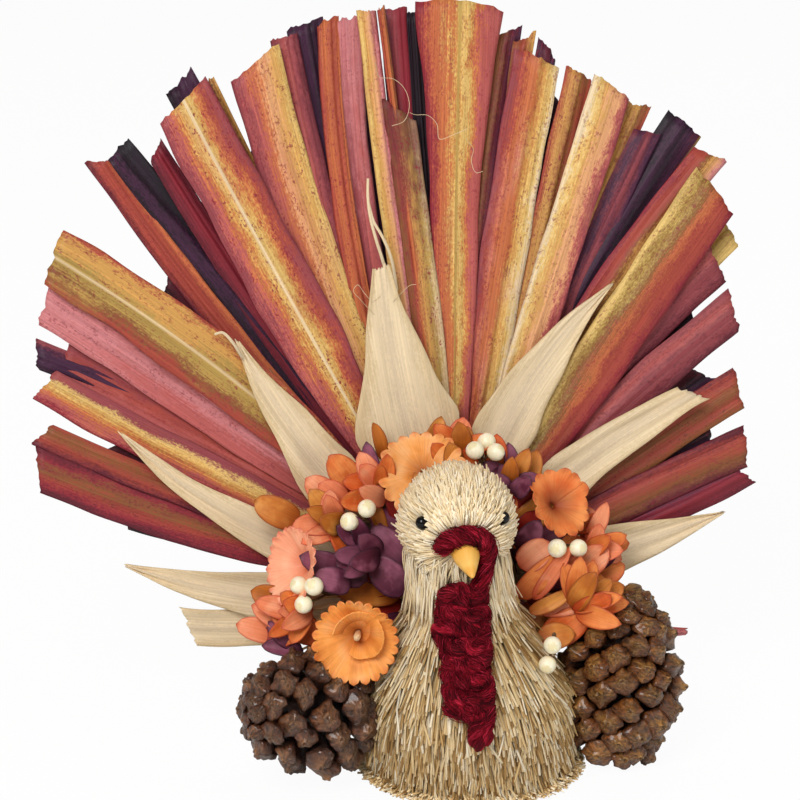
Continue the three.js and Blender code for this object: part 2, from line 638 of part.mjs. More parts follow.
function collarDirection(bearing, out, swing = 0) {
  const a = radians(bearing);
  const radial = vec(Math.sin(a), 0, Math.cos(a));
  const around = vec(Math.cos(a), 0, -Math.sin(a));
  return vec(0, -Math.cos(radians(out)) * Math.cos(radians(swing)), 0)
    .addScaledVector(radial, Math.sin(radians(out)))
    .addScaledVector(around, Math.sin(radians(swing)))
    .normalize();
}

// Stem from inside the collar to a distance above its skin
function stemEnds(spec, length) {
  const direction = collarDirection(spec.bearing, spec.out, spec.swing);
  const centre = collarPoint(spec.bearing);
  return {
    foot: centre.clone().addScaledVector(direction, COLLAR_SECTION - STEM_DEPTH),
    top: centre.clone().addScaledVector(direction, COLLAR_SECTION + length),
    direction,
  };
}

const onAxis = (direction) => new THREE.Quaternion().setFromUnitVectors(vec(0, 0, 1), direction);

function trumpetGeometry(spec) {
  const { foot, top, direction } = stemEnds(spec, spec.stem);
  const axis = collarDirection(spec.bearing, spec.face);
  const rings = (lift) => [0.06, 0.45, 1].map((t) => Array.from({ length: 2 * TRUMPET_TEETH }, (_, i) => {
    const a = (Math.PI * i) / TRUMPET_TEETH;
    const r = spec.radius * t * (t === 1 && i % 2 ? 0.92 : 1);
    return vec(r * Math.cos(a), r * Math.sin(a), spec.depth * t ** 0.62 + lift * (1 - 0.4 * t))
      .applyQuaternion(onAxis(axis))
      .add(top);
  }));
  const bowl = sheet(rings(TRUMPET_WALL), rings(0), true);
  const stem = rod(foot, top.clone().addScaledVector(direction, STEM_RADIUS), STEM_RADIUS);
  const stamen = rod(top.clone().addScaledVector(axis, -STEM_RADIUS),
    top.clone().addScaledVector(axis, spec.depth * spec.stamen), STEM_RADIUS * 1.1);
  return shape(joined([bowl, stem, stamen]));
}

// Petal along +Z, lens shaped in section and cupped toward +X
function petalGeometry(length) {
  const stations = [[0.04, 0.12], [0.34, 0.9], [0.7, 0.94], [1, 0.22]];
  return loft(stations.map(([t, w]) => {
    const half = (w * PETAL_WIDTH) / 2;
    const lift = 2.4 * Math.sin(Math.PI * t);
    const cup = 0.9 * w;
    return [
      vec(lift + cup, -half, t * length), vec(lift + PETAL_THICKNESS / 2, 0, t * length),
      vec(lift + cup, half, t * length), vec(lift - PETAL_THICKNESS / 2, 0, t * length),
    ];
  }));
}

function sprayGeometry(spec) {
  const { foot, top, direction } = stemEnds(spec, spec.stem);
  const parts = [rod(foot, top.clone().addScaledVector(direction, 2), STEM_RADIUS)];
  for (let i = 0; i < spec.count; i++) {
    const petal = petalGeometry(spec.petal)
      .rotateY(radians(-spec.spread - (i % 2) * 9))
      .rotateZ((2 * Math.PI * (i + 0.25)) / spec.count)
      .translate(0, 0, -1.3 * i)
      .applyQuaternion(onAxis(direction))
      .translate(top.x, top.y, top.z);
    parts.push(petal);
  }
  return shape(joined(parts));
}

function sprigGeometry(spec) {
  const { foot, top, direction } = stemEnds(spec, spec.wire);
  const across = vec().crossVectors(direction, vec(0, 1, 0.3)).normalize();
  const fork = top.clone().addScaledVector(direction, -0.45 * spec.wire);
  const parts = [rod(foot, fork.clone().addScaledVector(direction, 1), STEM_RADIUS * 0.8)];
  for (const side of [-0.5, 0.5]) {
    const berry = top.clone().addScaledVector(across, side * spec.spacing);
    parts.push(rod(fork, berry, STEM_RADIUS * 0.7));
    parts.push(new THREE.SphereGeometry(BERRY_RADIUS, 7, 5).translate(berry.x, berry.y, berry.z));
  }
  return shape(joined(parts));
}

const stems = [
  ...TRUMPETS.map((spec) => stemEnds(spec, spec.stem)),
  ...SPRAYS.map((spec) => stemEnds(spec, spec.stem)),
  ...SPRIGS.map((spec) => stemEnds(spec, spec.wire)),
];

function collarGeometry() {
  const sections = Array.from({ length: 15 }, (_, i) => {
    const a = radians(lerp(-COLLAR_SWEEP, COLLAR_SWEEP, i / 14));
    return Array.from({ length: 7 }, (_, j) => {
      const b = (2 * Math.PI * j) / 7;
      const r = COLLAR_RADIUS + COLLAR_SECTION * Math.cos(b);
      return inTail(r * Math.sin(a), r * Math.cos(a), collarLift + COLLAR_SECTION * Math.sin(b));
    });
  });
  const bores = stems.map(({ foot, top, direction }) => {
    return solid(rod(foot.clone().addScaledVector(direction, -GAP), top, STEM_RADIUS + BORE_GAP));
  });
  return shape(bores.reduce((ring, bore) => ring.subtract(bore), solid(loft(sections))));
}

// Assembly

const foot = piece("foot_board", turned([
  [0, 0], [footRadius, 0], [footRadius, FOOT_THICKNESS], [0, FOOT_THICKNESS],
], 28), WOOD);
const boardBack = inTail(0, 0, -TAIL_BOARD_THICKNESS);
const tailBoard = piece("tail_board", rod(boardBack, inTail(0, 0, 0), TAIL_BOARD_RADIUS, 32), WOOD);

const breast = bodyBristles(breastHeights, BREAST_COLUMNS);
const skirt = bodyBristles(skirtHeights, SKIRT_COLUMNS);
const body = group("body", [
  piece("body_core", shape(bodyCore), FOAM),
  piece("breast_bristles", shape(breast), FIBRE),
  piece("skirt_bristles", shape(skirt), FIBRE),
  piece("neck_dowel", rod(dowelFoot, dowelTop, DOWEL_RADIUS, 12), WOOD),
]);
const headGroup = group("head", [
  piece("head_core", shape(headCore), FOAM),
  piece("head_bristles", headBristles(), FIBRE),
  piece("left_eye", eyeGeometry(eyes[0]), "#0c0b0b", 0.1),
  piece("right_eye", eyeGeometry(eyes[1]), "#0c0b0b", 0.1),
  piece("beak", beak, "#d9962a", 0.6),
  piece("wattle_yarn", yarn, "#b4261c", 0.9),
]);
const sides = group("sides", [
  piece("left_pine_cone", shape(pineConeGeometry(LEFT_CONE)), "#6b4a33", 0.5),
  piece("right_pine_cone", shape(pineConeGeometry(RIGHT_CONE)), "#6b4a33", 0.5),
]);
const flowers = group("flowers", [
  piece("flower_collar", collarGeometry(), FOAM),
  ...TRUMPETS.map((spec) => piece(spec.name, trumpetGeometry(spec), spec.colour)),
  ...SPRAYS.map((spec) => piece(spec.name, sprayGeometry(spec), spec.colour)),
  ...SPRIGS.map((spec) => piece(spec.name, sprigGeometry(spec), "#d8cba6")),
]);
const husks = group("husks", leaves.map((leaf, i) => {
  return piece(leaf.name, leafGeometry(leaf, layers[i]), DYES[leaf.dye]);
}));
tail.add(tailBoard, husks, flowers);

console.log("husk layers", topLayer + 1, "least yarn gap", leastYarnGap().toFixed(2), "mm");

export default group("turkey_figure", [foot, body, headGroup, sides, tail]);
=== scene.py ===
import json
import math
import random

import bpy
import numpy as np
from mathutils import Matrix, Vector, kdtree, noise

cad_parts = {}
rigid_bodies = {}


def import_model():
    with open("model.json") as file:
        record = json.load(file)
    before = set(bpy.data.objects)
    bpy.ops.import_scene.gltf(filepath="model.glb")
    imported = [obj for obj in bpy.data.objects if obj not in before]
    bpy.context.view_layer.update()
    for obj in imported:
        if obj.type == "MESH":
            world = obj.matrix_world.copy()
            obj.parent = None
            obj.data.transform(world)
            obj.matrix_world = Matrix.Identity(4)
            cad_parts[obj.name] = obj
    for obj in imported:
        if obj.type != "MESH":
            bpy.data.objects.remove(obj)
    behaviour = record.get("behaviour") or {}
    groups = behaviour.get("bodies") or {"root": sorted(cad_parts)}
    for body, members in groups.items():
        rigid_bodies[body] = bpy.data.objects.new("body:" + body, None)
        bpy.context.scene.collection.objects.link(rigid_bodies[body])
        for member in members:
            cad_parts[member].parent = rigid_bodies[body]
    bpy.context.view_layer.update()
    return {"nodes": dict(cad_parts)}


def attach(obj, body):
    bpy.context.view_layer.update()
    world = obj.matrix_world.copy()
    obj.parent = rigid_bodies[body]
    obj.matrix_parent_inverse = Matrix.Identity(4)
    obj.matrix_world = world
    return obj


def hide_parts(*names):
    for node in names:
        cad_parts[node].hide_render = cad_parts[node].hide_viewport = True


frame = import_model()
print("frame loaded:", len(frame["nodes"]), "solids")

mm = 0.001
uvUnit = 100  # mm to one unit of the grain map
fullTurn = 2 * math.pi
zAxis = Vector((0, 0, 1))
things = bpy.context.scene.collection.objects


def linear(hexColour):
    # sRGB hex to the linear colour that a socket takes
    parts = [int(hexColour[i:i + 2], 16) / 255 for i in (1, 3, 5)]
    return tuple(c / 12.92 if c <= 0.04045 else ((c + 0.055) / 1.055) ** 2.4 for c in parts) + (1.0,)


def lerp(a, b, t):
    return a + (b - a) * t


def smooth(t):
    t = min(max(t, 0.0), 1.0)
    return t * t * (3 - 2 * t)


def rowOf(keys):
    # gives a function that names the values in one row of a table
    return lambda *values, **more: {**dict(zip(keys.split(), values)), **more}


def fill(tree, socket, value):
    if isinstance(value, bpy.types.NodeSocket):
        tree.links.new(value, socket)
    else:
        socket.default_value = value


def addNode(tree, kind, inputs=None, **settings):
    # a node with its settings, and its links or values by input
    made = tree.nodes.new("ShaderNode" + kind)
    for key, value in settings.items():
        setattr(made, key, value)
    for key, value in (inputs or {}).items():
        fill(tree, made.inputs[key], value)
    return made


class Finish:
    # a material in the making: each method adds a node and gives its output

    def __init__(self, name):
        self.material = bpy.data.materials.new(name)
        self.material.use_nodes = True
        self.tree = self.material.node_tree
        self.shader = self.tree.nodes["Principled BSDF"]

    def node(self, kind, inputs=None, output=0, **settings):
        return addNode(self.tree, kind, inputs, **settings).outputs[output]

    def read(self, name, output="Fac"):
        return self.node("Attribute", output=output, attribute_name=name)

    def grain(self):
        return self.node("UVMap", uv_map="grain")

    def ownGrain(self, shift):
        # the grain map, moved to another spot for each tone
        inputs = {0: self.read("tone", "Vector"), 1: shift, 2: self.grain()}
        return self.node("VectorMath", inputs, operation="MULTIPLY_ADD")

    def noise(self, place, scale, detail, rough=0.5, turn=0):
        if isinstance(scale, tuple):
            place = self.node("Mapping", {"Vector": place, "Rotation": (0, 0, turn), "Scale": scale})
            scale = 1.0
        return self.node("TexNoise", {"Vector": place, "Scale": scale, "Detail": detail, "Roughness": rough})

    def math(self, operation, *values):
        return self.node("Math", dict(enumerate(values)), operation=operation)

    def span(self, value, low, high, start=0.0, end=1.0):
        # start to end becomes low to high
        return self.node("MapRange", {0: value, 1: start, 2: end, 3: low, 4: high})

    def ramp(self, value, *stops):
        made = addNode(self.tree, "ValToRGB", {0: value})
        elements = made.color_ramp.elements
        elements.remove(elements[1])
        elements[0].position = stops[0][0]
        elements[0].color = linear(stops[0][1])
        for at, colour in stops[1:]:
            elements.new(at).color = linear(colour)
        return made.outputs[0]

    def mix(self, share, colour, hexColour):
        return self.node("Mix", {0: share, 6: colour, 7: linear(hexColour)}, 2, data_type="RGBA")

    def scaled(self, colour, share):
        return self.node("VectorMath", {0: colour, "Scale": share}, operation="SCALE")

    def done(self, colour, rough, relief=(), more=None):
        # relief is a height, its strength and its depth in metres
        values = {"Base Color": colour, "Roughness": rough, **(more or {})}
        if relief:
            values["Normal"] = self.node("Bump", dict(zip(("Height", "Strength", "Distance"), relief)))
        for key, value in values.items():
            fill(self.tree, self.shader.inputs[key], value)
        return self.material


def newBatch():
    return {"points": [], "faces": [], "uv": [], "tone": [], "across": [], "along": []}


def addGrid(batch, rows, tone, ring=False, caps=(False, False)):
    # rows of (point, uv, across, along), joined into quads
    first = len(batch["points"])
    wide = len(rows[0])
    for row in rows:
        for point, uv, across, along in row:
            batch["points"].append(point)
            batch["uv"].append(uv)
            batch["across"].append(across)
            batch["along"].append(along)
            batch["tone"].append(tone)
    for i in range(len(rows) - 1):
        for j in range(wide if ring else wide - 1):
            k = (j + 1) % wide
            low, high = first + i * wide, first + (i + 1) * wide
            batch["faces"].append((low + j, low + k, high + k, high + j))
    if caps[0]:
        batch["faces"].append(tuple(first + j for j in reversed(range(wide))))
    if caps[1]:
        last = first + (len(rows) - 1) * wide
        batch["faces"].append(tuple(last + j for j in range(wide)))


def addSheet(batch, spot, rows, sides, tone, **ends):
    # a grid whose spot function gives (point, uv, across, along) at each row and side
    addGrid(batch, [[spot(i, j) for j in range(sides)] for i in range(rows)], tone, **ends)


def trace(path):
    # each point with its direction and the length of the path before it
    run = 0.0
    for i, point in enumerate(path):
        before = path[max(i - 1, 0)]
        run += (point - before).length
        yield point, (path[min(i + 1, len(path) - 1)] - before).normalized(), run


def carried(path):
    # each point with a side and its square, turned as little as possible from point to point
    side = (path[1] - path[0]).normalized().orthogonal().normalized()
    for point, tangent, run in trace(path):
        side = (side - tangent * side.dot(tangent)).normalized()
        yield point, side, tangent.cross(side), run


def addTube(batch, path, radii, sides, tone, lobes=None):
    rows = []
    for i, (point, side, other, run) in enumerate(carried(path)):
        row = []
        for j in range(sides):
            a = fullTurn * j / sides
            r = radii[i] * (lobes(a, run) if lobes else 1.0)
            out = side * math.cos(a) + other * math.sin(a)
            uv = (a * radii[i] / uvUnit, run / uvUnit)
            row.append((point + out * r, uv, math.sin(a), i / (len(path) - 1)))
        rows.append(row)
    addGrid(batch, rows, tone, ring=True, caps=(True, True))


def addStrand(batch, path, outward, width, thick, tone):
    # flat split fibre: a four-sided section that narrows a little and ends in a cut face
    rows = []
    for i, (point, tangent, run) in enumerate(trace(path)):
        side = tangent.cross(outward).normalized()
        face = side.cross(tangent)
        t = i / (len(path) - 1)
        w, h = width * (1 - 0.25 * t) / 2, thick * (1 - 0.2 * t) / 2
        rows.append([(point + (side * (x * w) + face * (y * h)), (x * w / uvUnit, run / uvUnit), x, t)
                     for x, y in ((-1, -1), (1, -1), (1, 1), (-1, 1))])
    addGrid(batch, rows, tone, ring=True, caps=(False, True))


def smoothPath(points, steps):
    # centripetal curve through the points, sampled evenly in its parameter
    ends = [points[0] * 2 - points[1]] + points + [points[-1] * 2 - points[-2]]
    path = []
    for s in range(steps + 1):
        whole = s / steps * (len(points) - 1)
        i = min(int(whole), len(points) - 2)
        p0, p1, p2, p3 = ends[i:i + 4]
        d0, d1, d2 = [max((b - a).length, 1e-6) ** 0.5 for a, b in ((p0, p1), (p1, p2), (p2, p3))]
        m1 = ((p1 - p0) / d0 - (p2 - p0) / (d0 + d1) + (p2 - p1) / d1) * d1
        m2 = ((p2 - p1) / d1 - (p3 - p1) / (d1 + d2) + (p3 - p2) / d2) * d1
        t = whole - i
        path.append(p1 * (2 * t**3 - 3 * t**2 + 1) + m1 * (t**3 - 2 * t**2 + t)
                    + p2 * (3 * t**2 - 2 * t**3) + m2 * (t**3 - t**2))
    return path


def makePiece(name, batch, material, nodes=(), thickness=0):
    mesh = bpy.data.meshes.new(name)
    mesh.from_pydata([tuple(p * mm) for p in batch["points"]], [], batch["faces"])
    for key in ("tone", "across", "along"):
        mesh.attributes.new(key, "FLOAT", "POINT").data.foreach_set("value", batch[key])
    corners = np.empty(len(mesh.loops), dtype=np.int64)
    mesh.loops.foreach_get("vertex_index", corners)
    uv = np.array(batch["uv"], dtype=np.float32)[corners]
    mesh.uv_layers.new(name="grain").data.foreach_set("uv", uv.ravel())
    mesh.polygons.foreach_set("use_smooth", [True] * len(mesh.polygons))
    mesh.materials.append(material)
    mesh.update()
    piece = bpy.data.objects.new(name, mesh)
    things.link(piece)
    if thickness:
        skin = piece.modifiers.new("thickness", "SOLIDIFY")
        skin.thickness = thickness * mm
        skin.offset = 0
    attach(piece, "root")
    if nodes:
        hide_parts(*nodes)


# Camera at the photograph's angle, and soft studio light

studio = {
    "camera": (-0.269733, -1.350344, 0.617154),
    "target": (-0.022009, 0.054568, 0.153629),
    "lens": 151.685,
    "sensor": 36,
    # each lamp's place, size in metres and watts
    "lamps": {"key": ((-0.75, -1.25, 1.35), 0.9, 29), "fill": ((1.15, -1.0, 0.75), 1.2, 5),
              "rim": ((0.3, 0.9, 1.3), 1.0, 6)},
    "lampTarget": (0, 0, 0.14),
    "sky": 0.3,
    "paperWhite": 0.95,
}


def stand(name, data, place, target):
    thing = bpy.data.objects.new(name, data)
    thing.location = place
    thing.rotation_euler = (Vector(target) - thing.location).to_track_quat("-Z", "Y").to_euler()
    things.link(thing)
    return thing


cameraData = bpy.data.cameras.new("camera")
cameraData.lens = studio["lens"]
cameraData.sensor_width = studio["sensor"]
bpy.context.scene.camera = stand("camera", cameraData, studio["camera"], studio["target"])
bpy.context.scene.view_settings.view_transform = "Standard"
for lampName, (place, size, watts) in studio["lamps"].items():
    lampData = bpy.data.lights.new(lampName, "AREA")
    lampData.size = size
    lampData.energy = watts
    stand(lampName, lampData, place, studio["lampTarget"])

# Sky: an even studio grey for light, plain white where the camera sees it
world = bpy.data.worlds.new("studio")
world.use_nodes = True
bpy.context.scene.world = world
tree = world.node_tree
tree.nodes.clear()
rays = addNode(tree, "LightPath").outputs
seen = addNode(tree, "Math", {0: rays["Is Camera Ray"], 1: rays["Is Transmission Ray"]}, operation="MAXIMUM")
dim = addNode(tree, "Background", {"Color": linear("#fbfaf8"), "Strength": studio["sky"]})
white = addNode(tree, "Background", {"Color": (1, 1, 1, 1), "Strength": 1.0})
both = addNode(tree, "MixShader", {0: seen.outputs[0], 1: dim.outputs[0], 2: white.outputs[0]})
addNode(tree, "OutputWorld", {"Surface": both.outputs[0]})

# Floor: a white paper sweep, kept white to the camera under a soft shadow
floorMesh = bpy.data.meshes.new("paperFloor")
floorMesh.from_pydata([(-4, -4, 0), (4, -4, 0), (4, 4, 0), (-4, 4, 0)], [], [(0, 1, 2, 3)])
floor = bpy.data.objects.new("paperFloor", floorMesh)
floor.location.z = -0.0006
things.link(floor)
paper = Finish("white paper sweep")
floorMesh.materials.append(paper.done(linear("#f2f1ef"), 0.9))
glow = paper.node("Emission", {"Color": (1, 1, 1, 1), "Strength": 1.0})
share = paper.math("MULTIPLY", paper.node("LightPath", output="Is Camera Ray"), studio["paperWhite"])
both = paper.node("MixShader", {0: share, 1: paper.shader.outputs[0], 2: glow})
paper.tree.links.new(both, paper.tree.nodes["Material Output"].inputs["Surface"])
print("camera, lamps and floor set")

# Dyed husk: dried leaf soaked in dye, so colour runs in bands from edge to edge and gathers in specks and fibres

dyes = {
    "crimson": "#8a2733", "maroon": "#5c1d29", "rust": "#a34436", "orange": "#c06a3e", "gold": "#cc9850",
    "yellow": "#dfbb70", "olive": "#ac8c48", "brown": "#86532f", "peach": "#dca070", "blush": "#cc8082",
    "rose": "#b35955", "mauve": "#8f4146", "plum": "#43203a", "ink": "#1c0e18", "slate": "#272228", "straw": "#d5bb91",
    "cream": "#e4cda8", "bone": "#d4be9f",
}


def dyedHusk(name, strip):
    # satin dried leaf: soft bands of dye from edge to edge that break up into grains where they meet
    husk = Finish(name)
    place = husk.ownGrain((37, 91, 13))
    across, along = husk.read("across"), husk.read("along")
    # fibres 0.6 by 50 mm, grains 0.7 by 1.5 mm, specks 0.9 by 1.4 mm, mottle 2.5 by 8 mm, blots 10 by 40 mm
    fibre, grain, speck, mottle, blot = [husk.noise(place, scale, detail, 0.6) for scale, detail in (
        ((165, 2, 1), 5.0), ((140, 66, 1), 3.0), ((110, 70, 1), 2.0), ((40, 12, 1), 4.0), ((10, 2.5, 1), 4.0))]
    # where a band begins is let wander by every noise in turn
    shifted = across
    for wander, weight in ((blot, 1.1), (mottle, 0.55), (grain, 0.95), (fibre, 0.4)):
        shifted = husk.math("MULTIPLY_ADD", wander, weight, shifted)
    bands = strip["bands"].split()
    stops = [(0.06 + 0.88 * k / (len(bands) - 1), dyes[dye]) for k, dye in enumerate(bands)]
    colour = husk.ramp(husk.span(shifted, 0, 1, 0.45, 2.55), *stops)
    # washes of a neighbouring dye
    washed = husk.span(blot, 0, strip.get("washed", 0.4), 0.52, 0.72)
    colour = husk.mix(washed, colour, dyes[strip.get("wash", "rust")])
    if "end" in strip:
        ended = husk.span(husk.math("MULTIPLY_ADD", mottle, 0.7, along), 0, 0.75, 0.95, 1.3)
        colour = husk.mix(ended, colour, dyes[strip["end"]])
    # specks of dye gather in clouds
    gather = husk.span(mottle, 0.05, 1.0, 0.45, 0.6)
    specked = husk.math("MULTIPLY", husk.span(speck, 0, strip.get("specks", 0.6), 0.52, 0.62), gather)
    colour = husk.mix(specked, colour, dyes[strip.get("speck", "crimson")])
    if "rib" in strip:
        colour = husk.mix(husk.span(husk.math("ABSOLUTE", across), 0.8, 0.0, 0.02, 0.07), colour, dyes[strip["rib"]])
    if "edge" in strip:
        side, dye = strip["edge"]
        colour = husk.mix(husk.span(across, 0, 1, side * 0.88, side * 0.95), colour, dyes[dye])
    streak = husk.span(fibre, *strip.get("streak", (0.74, 1.16)), 0.3, 0.7)
    # toward the root, where the strips run under the collar and each other, the colour falls to 0.7: painted shade
    shade = husk.math("MULTIPLY", streak, husk.span(along, 0.7, 1.0, 0.05, 0.4))
    relief = husk.math("MULTIPLY_ADD", grain, 0.4, fibre)
    return husk.done(husk.scaled(colour, shade), husk.span(fibre, 0.6, 0.4), (relief, 0.5, 0.0006),
                     {"IOR": 1.46, "Specular IOR Level": 0.3})


# Tail: strips and leaves stacked from back to front on the leaning board, as the solids are

tail = {"back": 42, "height": 70, "tilt": 12, "root": 29, "rootWidth": 8, "sag": 0.0095, "thick": 0.9, "gap": 0.3,
        "sheet": 0.5}
tailMatrix = Matrix.Translation((0, tail["back"], tail["height"]))
tailMatrix = tailMatrix @ Matrix.Rotation(-math.radians(tail["tilt"]), 4, "X")


def tailPoint(across, up, front):
    return tailMatrix @ Vector((across, -front, up))


# bearing and lean in degrees, reach, width at the middle and tip, slant of the cut, kind of dye, dyes from edge to edge
huskRow = rowOf("name bearing lean reach middle tip slant dye bands")
strips = [
    huskRow("husk_05", -58.1, -3.9, 214, 12, 12, 4, "eggplant", "ink plum plum mauve", speck="ink", wash="plum"),
    huskRow("husk_09", -35.9, -1.4, 246, 17, 17, 1, "eggplant", "plum ink plum ink slate slate",
            speck="ink", wash="plum", edge=(-1, "yellow")),
    huskRow("husk_13", -12.9, 2.8, 259, 15, 16, 1, "eggplant", "plum plum ink plum", speck="ink", wash="plum"),
    huskRow("husk_25", 29.1, 3.8, 231, 18, 18, -2, "eggplant", "slate ink plum ink plum maroon",
            speck="ink", wash="plum", edge=(1, "olive")),
    huskRow("husk_01", -71.2, 4, 194, 18, 18, 4, "maroon", "maroon crimson rust brown crimson maroon",
            rib="brown", wash="crimson", speck="maroon"),
    huskRow("husk_28", 41.8, 4.9, 187, 19, 19, -4, "mauve", "maroon rose mauve mauve maroon",
            wash="mauve", speck="maroon"),
    huskRow("husk_12", -15.4, 3.5, 256, 12, 12, 0, "mauve", "maroon mauve rose mauve maroon",
            wash="mauve", speck="maroon"),
    huskRow("husk_30", 58.7, 0.7, 157, 18, 18, -3, "mauve", "maroon rust brown rust brown",
            wash="rust", speck="maroon"),
    huskRow("husk_03", -60.9, 2, 205, 16, 15, -2, "pink", "crimson rose orange gold yellow mauve mauve",
            wash="orange", washed=0.2, specks=0.4),
    huskRow("husk_06", -52.3, -1.1, 224, 20, 20, 4, "mauve", "rose rose blush rose mauve",
            end="blush", wash="rose", speck="mauve", specks=0.75),
    huskRow("husk_11", -19.1, 3.6, 250, 22, 23, 4, "rust", "mauve rose orange peach gold yellow",
            wash="rose", specks=0.8),
    huskRow("husk_21", 10.9, 0.5, 238, 20, 21, -3, "golden", "mauve rust orange orange gold yellow cream",
            wash="blush", specks=0.7),
    huskRow("husk_26", 33.1, 5, 224, 15, 15, 1, "rust", "crimson rust rust brown gold peach blush",
            washed=0.2, specks=0.4),
    huskRow("husk_29", 48.3, 3, 176, 17, 17, -5, "mauve", "mauve rose mauve mauve maroon",
            wash="mauve", speck="maroon"),
    huskRow("husk_31", 68.1, 0.2, 147, 17, 18, -3, "rust", "maroon rust brown maroon", wash="mauve"),
    huskRow("husk_07", -48, -4, 233, 25, 24, 4, "olive", "rust brown olive olive gold gold rust",
            rib="straw", wash="gold", washed=0.3, specks=0.7),
    huskRow("husk_23", 19.4, -0.1, 233, 17, 18, -3, "golden", "cream yellow gold peach peach rose mauve",
            wash="peach", specks=0.65),
    huskRow("husk_27", 35.6, 0.6, 211, 24, 25, -4, "olive", "yellow olive brown orange rust rust crimson",
            wash="brown", specks=0.7),
    huskRow("husk_10", -27.4, 0.9, 249, 27, 26, 4, "golden", "mauve rose orange gold yellow gold orange rust mauve",
            rib="cream", wash="rose", specks=0.95),
    huskRow("husk_19", 2.2, 0.3, 257, 20, 38, -2, "golden",
            "crimson rust orange orange gold yellow gold orange rose rose", rib="olive", wash="rust", bulge=4),
    huskRow("bract_3", -62.4, 10, 166, 17, 4, 0, "natural"),
    huskRow("bract_5", -95.4, 7, 121, 16, 15, 3, "natural"),
    huskRow("bract_7", 53.7, 5.9, 137, 20, 10, 4, "natural"),
    huskRow("bract_2", -39.5, 7, 149, 25, 4, 0, "natural"),
    huskRow("bract_4", -83.2, 8, 148, 22, 4, 0, "natural"),
    huskRow("bract_8", 78.4, -3.7, 126, 23, 4, 0, "natural"),
    huskRow("bract_6", 29.1, 10, 151, 26, 4, 0, "natural"),
    huskRow("bract_1", -11.9, 3.7, 148, 39, 7, 0, "natural"),
]
undyed = {"bands": "straw cream cream bone cream cream straw", "wash": "bone", "washed": 0.6,
          "speck": "straw", "specks": 0.2, "streak": (0.82, 1.09)}

# narrow strips tucked between the others, with the layer that each lies in
tuckedRow = rowOf("name bearing lean reach middle tip slant dye layer bands")
tuckedStrips = [
    tuckedRow("tucked_02", -66.8, 2.3, 197, 11, 11, -3, "rust", 0.5, "maroon rust brown rust"),
    tuckedRow("tucked_04", -57.6, -0.4, 201, 15, 16, 3, "mauve", 0.6, "mauve rose rust mauve", wash="mauve"),
    tuckedRow("tucked_08", -37.5, 2.6, 247, 11, 11, -4, "rust", 0.5, "maroon rust rust orange"),
    tuckedRow("tucked_14", -10.8, 5.9, 258, 9, 9, 1, "rust", 2.45, "rust orange rust orange",
              wash="orange", specks=0.9),
    tuckedRow("tucked_15", -8.9, 4.7, 257, 12, 12, 0, "mauve", 1.4, "rose mauve rose mauve",
              end="blush", wash="rose", speck="mauve"),
    tuckedRow("tucked_16", -7, 1.4, 259, 8, 8, -1, "olive", 2.4, "yellow gold peach blush mauve", wash="peach"),
    tuckedRow("tucked_17", -4.1, 1.1, 258, 11, 11, 0, "maroon", 0.4, "plum mauve crimson crimson", wash="crimson"),
    tuckedRow("tucked_18", -5, -0.9, 214, 13, 13, -6, "rust", 2.6, "brown rust gold olive straw",
              end="maroon", specks=0.9),
    tuckedRow("tucked_20", 7.4, 2.1, 247, 13, 13, 4, "maroon", 0.4, "maroon brown maroon plum", wash="maroon"),
    tuckedRow("tucked_22", 15.8, -0.9, 235, 12, 12, -2, "rust", 0.4, "rust gold brown rust", specks=0.95),
    tuckedRow("tucked_24", 23.4, 1.5, 230, 10, 10, 1, "rust", 0.3, "brown gold brown rust", wash="olive"),
    tuckedRow("tucked_32", 72.9, -4, 142, 12, 12, 4, "maroon", 0.3, "plum crimson maroon", wash="crimson"),
    tuckedRow("tucked_33", 105.3, -7, 111, 7, 3, 0, "pink", 0.3, "rose blush", wash="rose"),
    tuckedRow("tucked_34", -32.3, 1.5, 236, 11, 9, 3, "maroon", 0.4, "maroon crimson maroon", wash="maroon"),
    tuckedRow("tucked_35", -24.1, 0.4, 250, 8, 7, 1, "eggplant", 0.4, "ink ink brown gold", wash="ink", speck="ink"),
    tuckedRow("tucked_36", -26.4, 0.6, 256, 13, 14, 3, "eggplant", 0.2, "ink plum plum", wash="plum", speck="ink"),
    tuckedRow("tucked_37", -2.2, -0.2, 256, 8, 6, 1, "eggplant", 0.3, "ink ink slate", wash="ink", speck="ink"),
    tuckedRow("tucked_38", -5.6, -0.3, 259, 3, 3, 1, "rust", 2.5, "rust orange brown", wash="orange"),
    tuckedRow("tucked_39", 9.3, 1.2, 246, 10, 9, 3, "rust", 0.3, "brown rust gold", wash="brown"),
    tuckedRow("tucked_40", 11.9, 0.4, 243, 12, 9, -4, "maroon", 0.2, "plum maroon plum", wash="plum"),
    tuckedRow("tucked_41", 25.1, 1.5, 220, 16, 15, 2, "eggplant", 0.3, "mauve plum mauve plum",
              wash="plum", speck="plum"),
    tuckedRow("tucked_42", 40.9, 2.5, 202, 14, 15, -3, "olive", 0.2, "gold olive yellow", wash="olive"),
]

# dark strips at the very back, painted shade that closes the gaps between the strips: bearing and reach
backing = {"places": [(-74, 152), (-64, 164), (-55, 170), (-46, 176), (-39.5, 190), (-31.5, 206), (-23, 214),
                      (-16, 226), (-9.5, 226), (-2, 192), (5.5, 222), (14, 222), (21.5, 206), (26, 204),
                      (38.5, 188), (45, 162), (53.5, 148), (63.5, 136), (73, 122)],
           "bands": "ink maroon ink plum ink", "wash": "ink", "speck": "ink", "width": 16, "lean": 1.5, "slant": 4,
           "layer": -0.5, "sink": 2.4}


def crownAt(r):
    return tail["sag"] * max(r - tail["root"], 0)


def layerAt(r):
    return crownAt(r) + tail["thick"] + tail["gap"] + 0.1


def bearingAt(strip, r):
    return strip["bearing"] - 2 * strip["lean"] * (strip["reach"] - r) / strip["reach"]


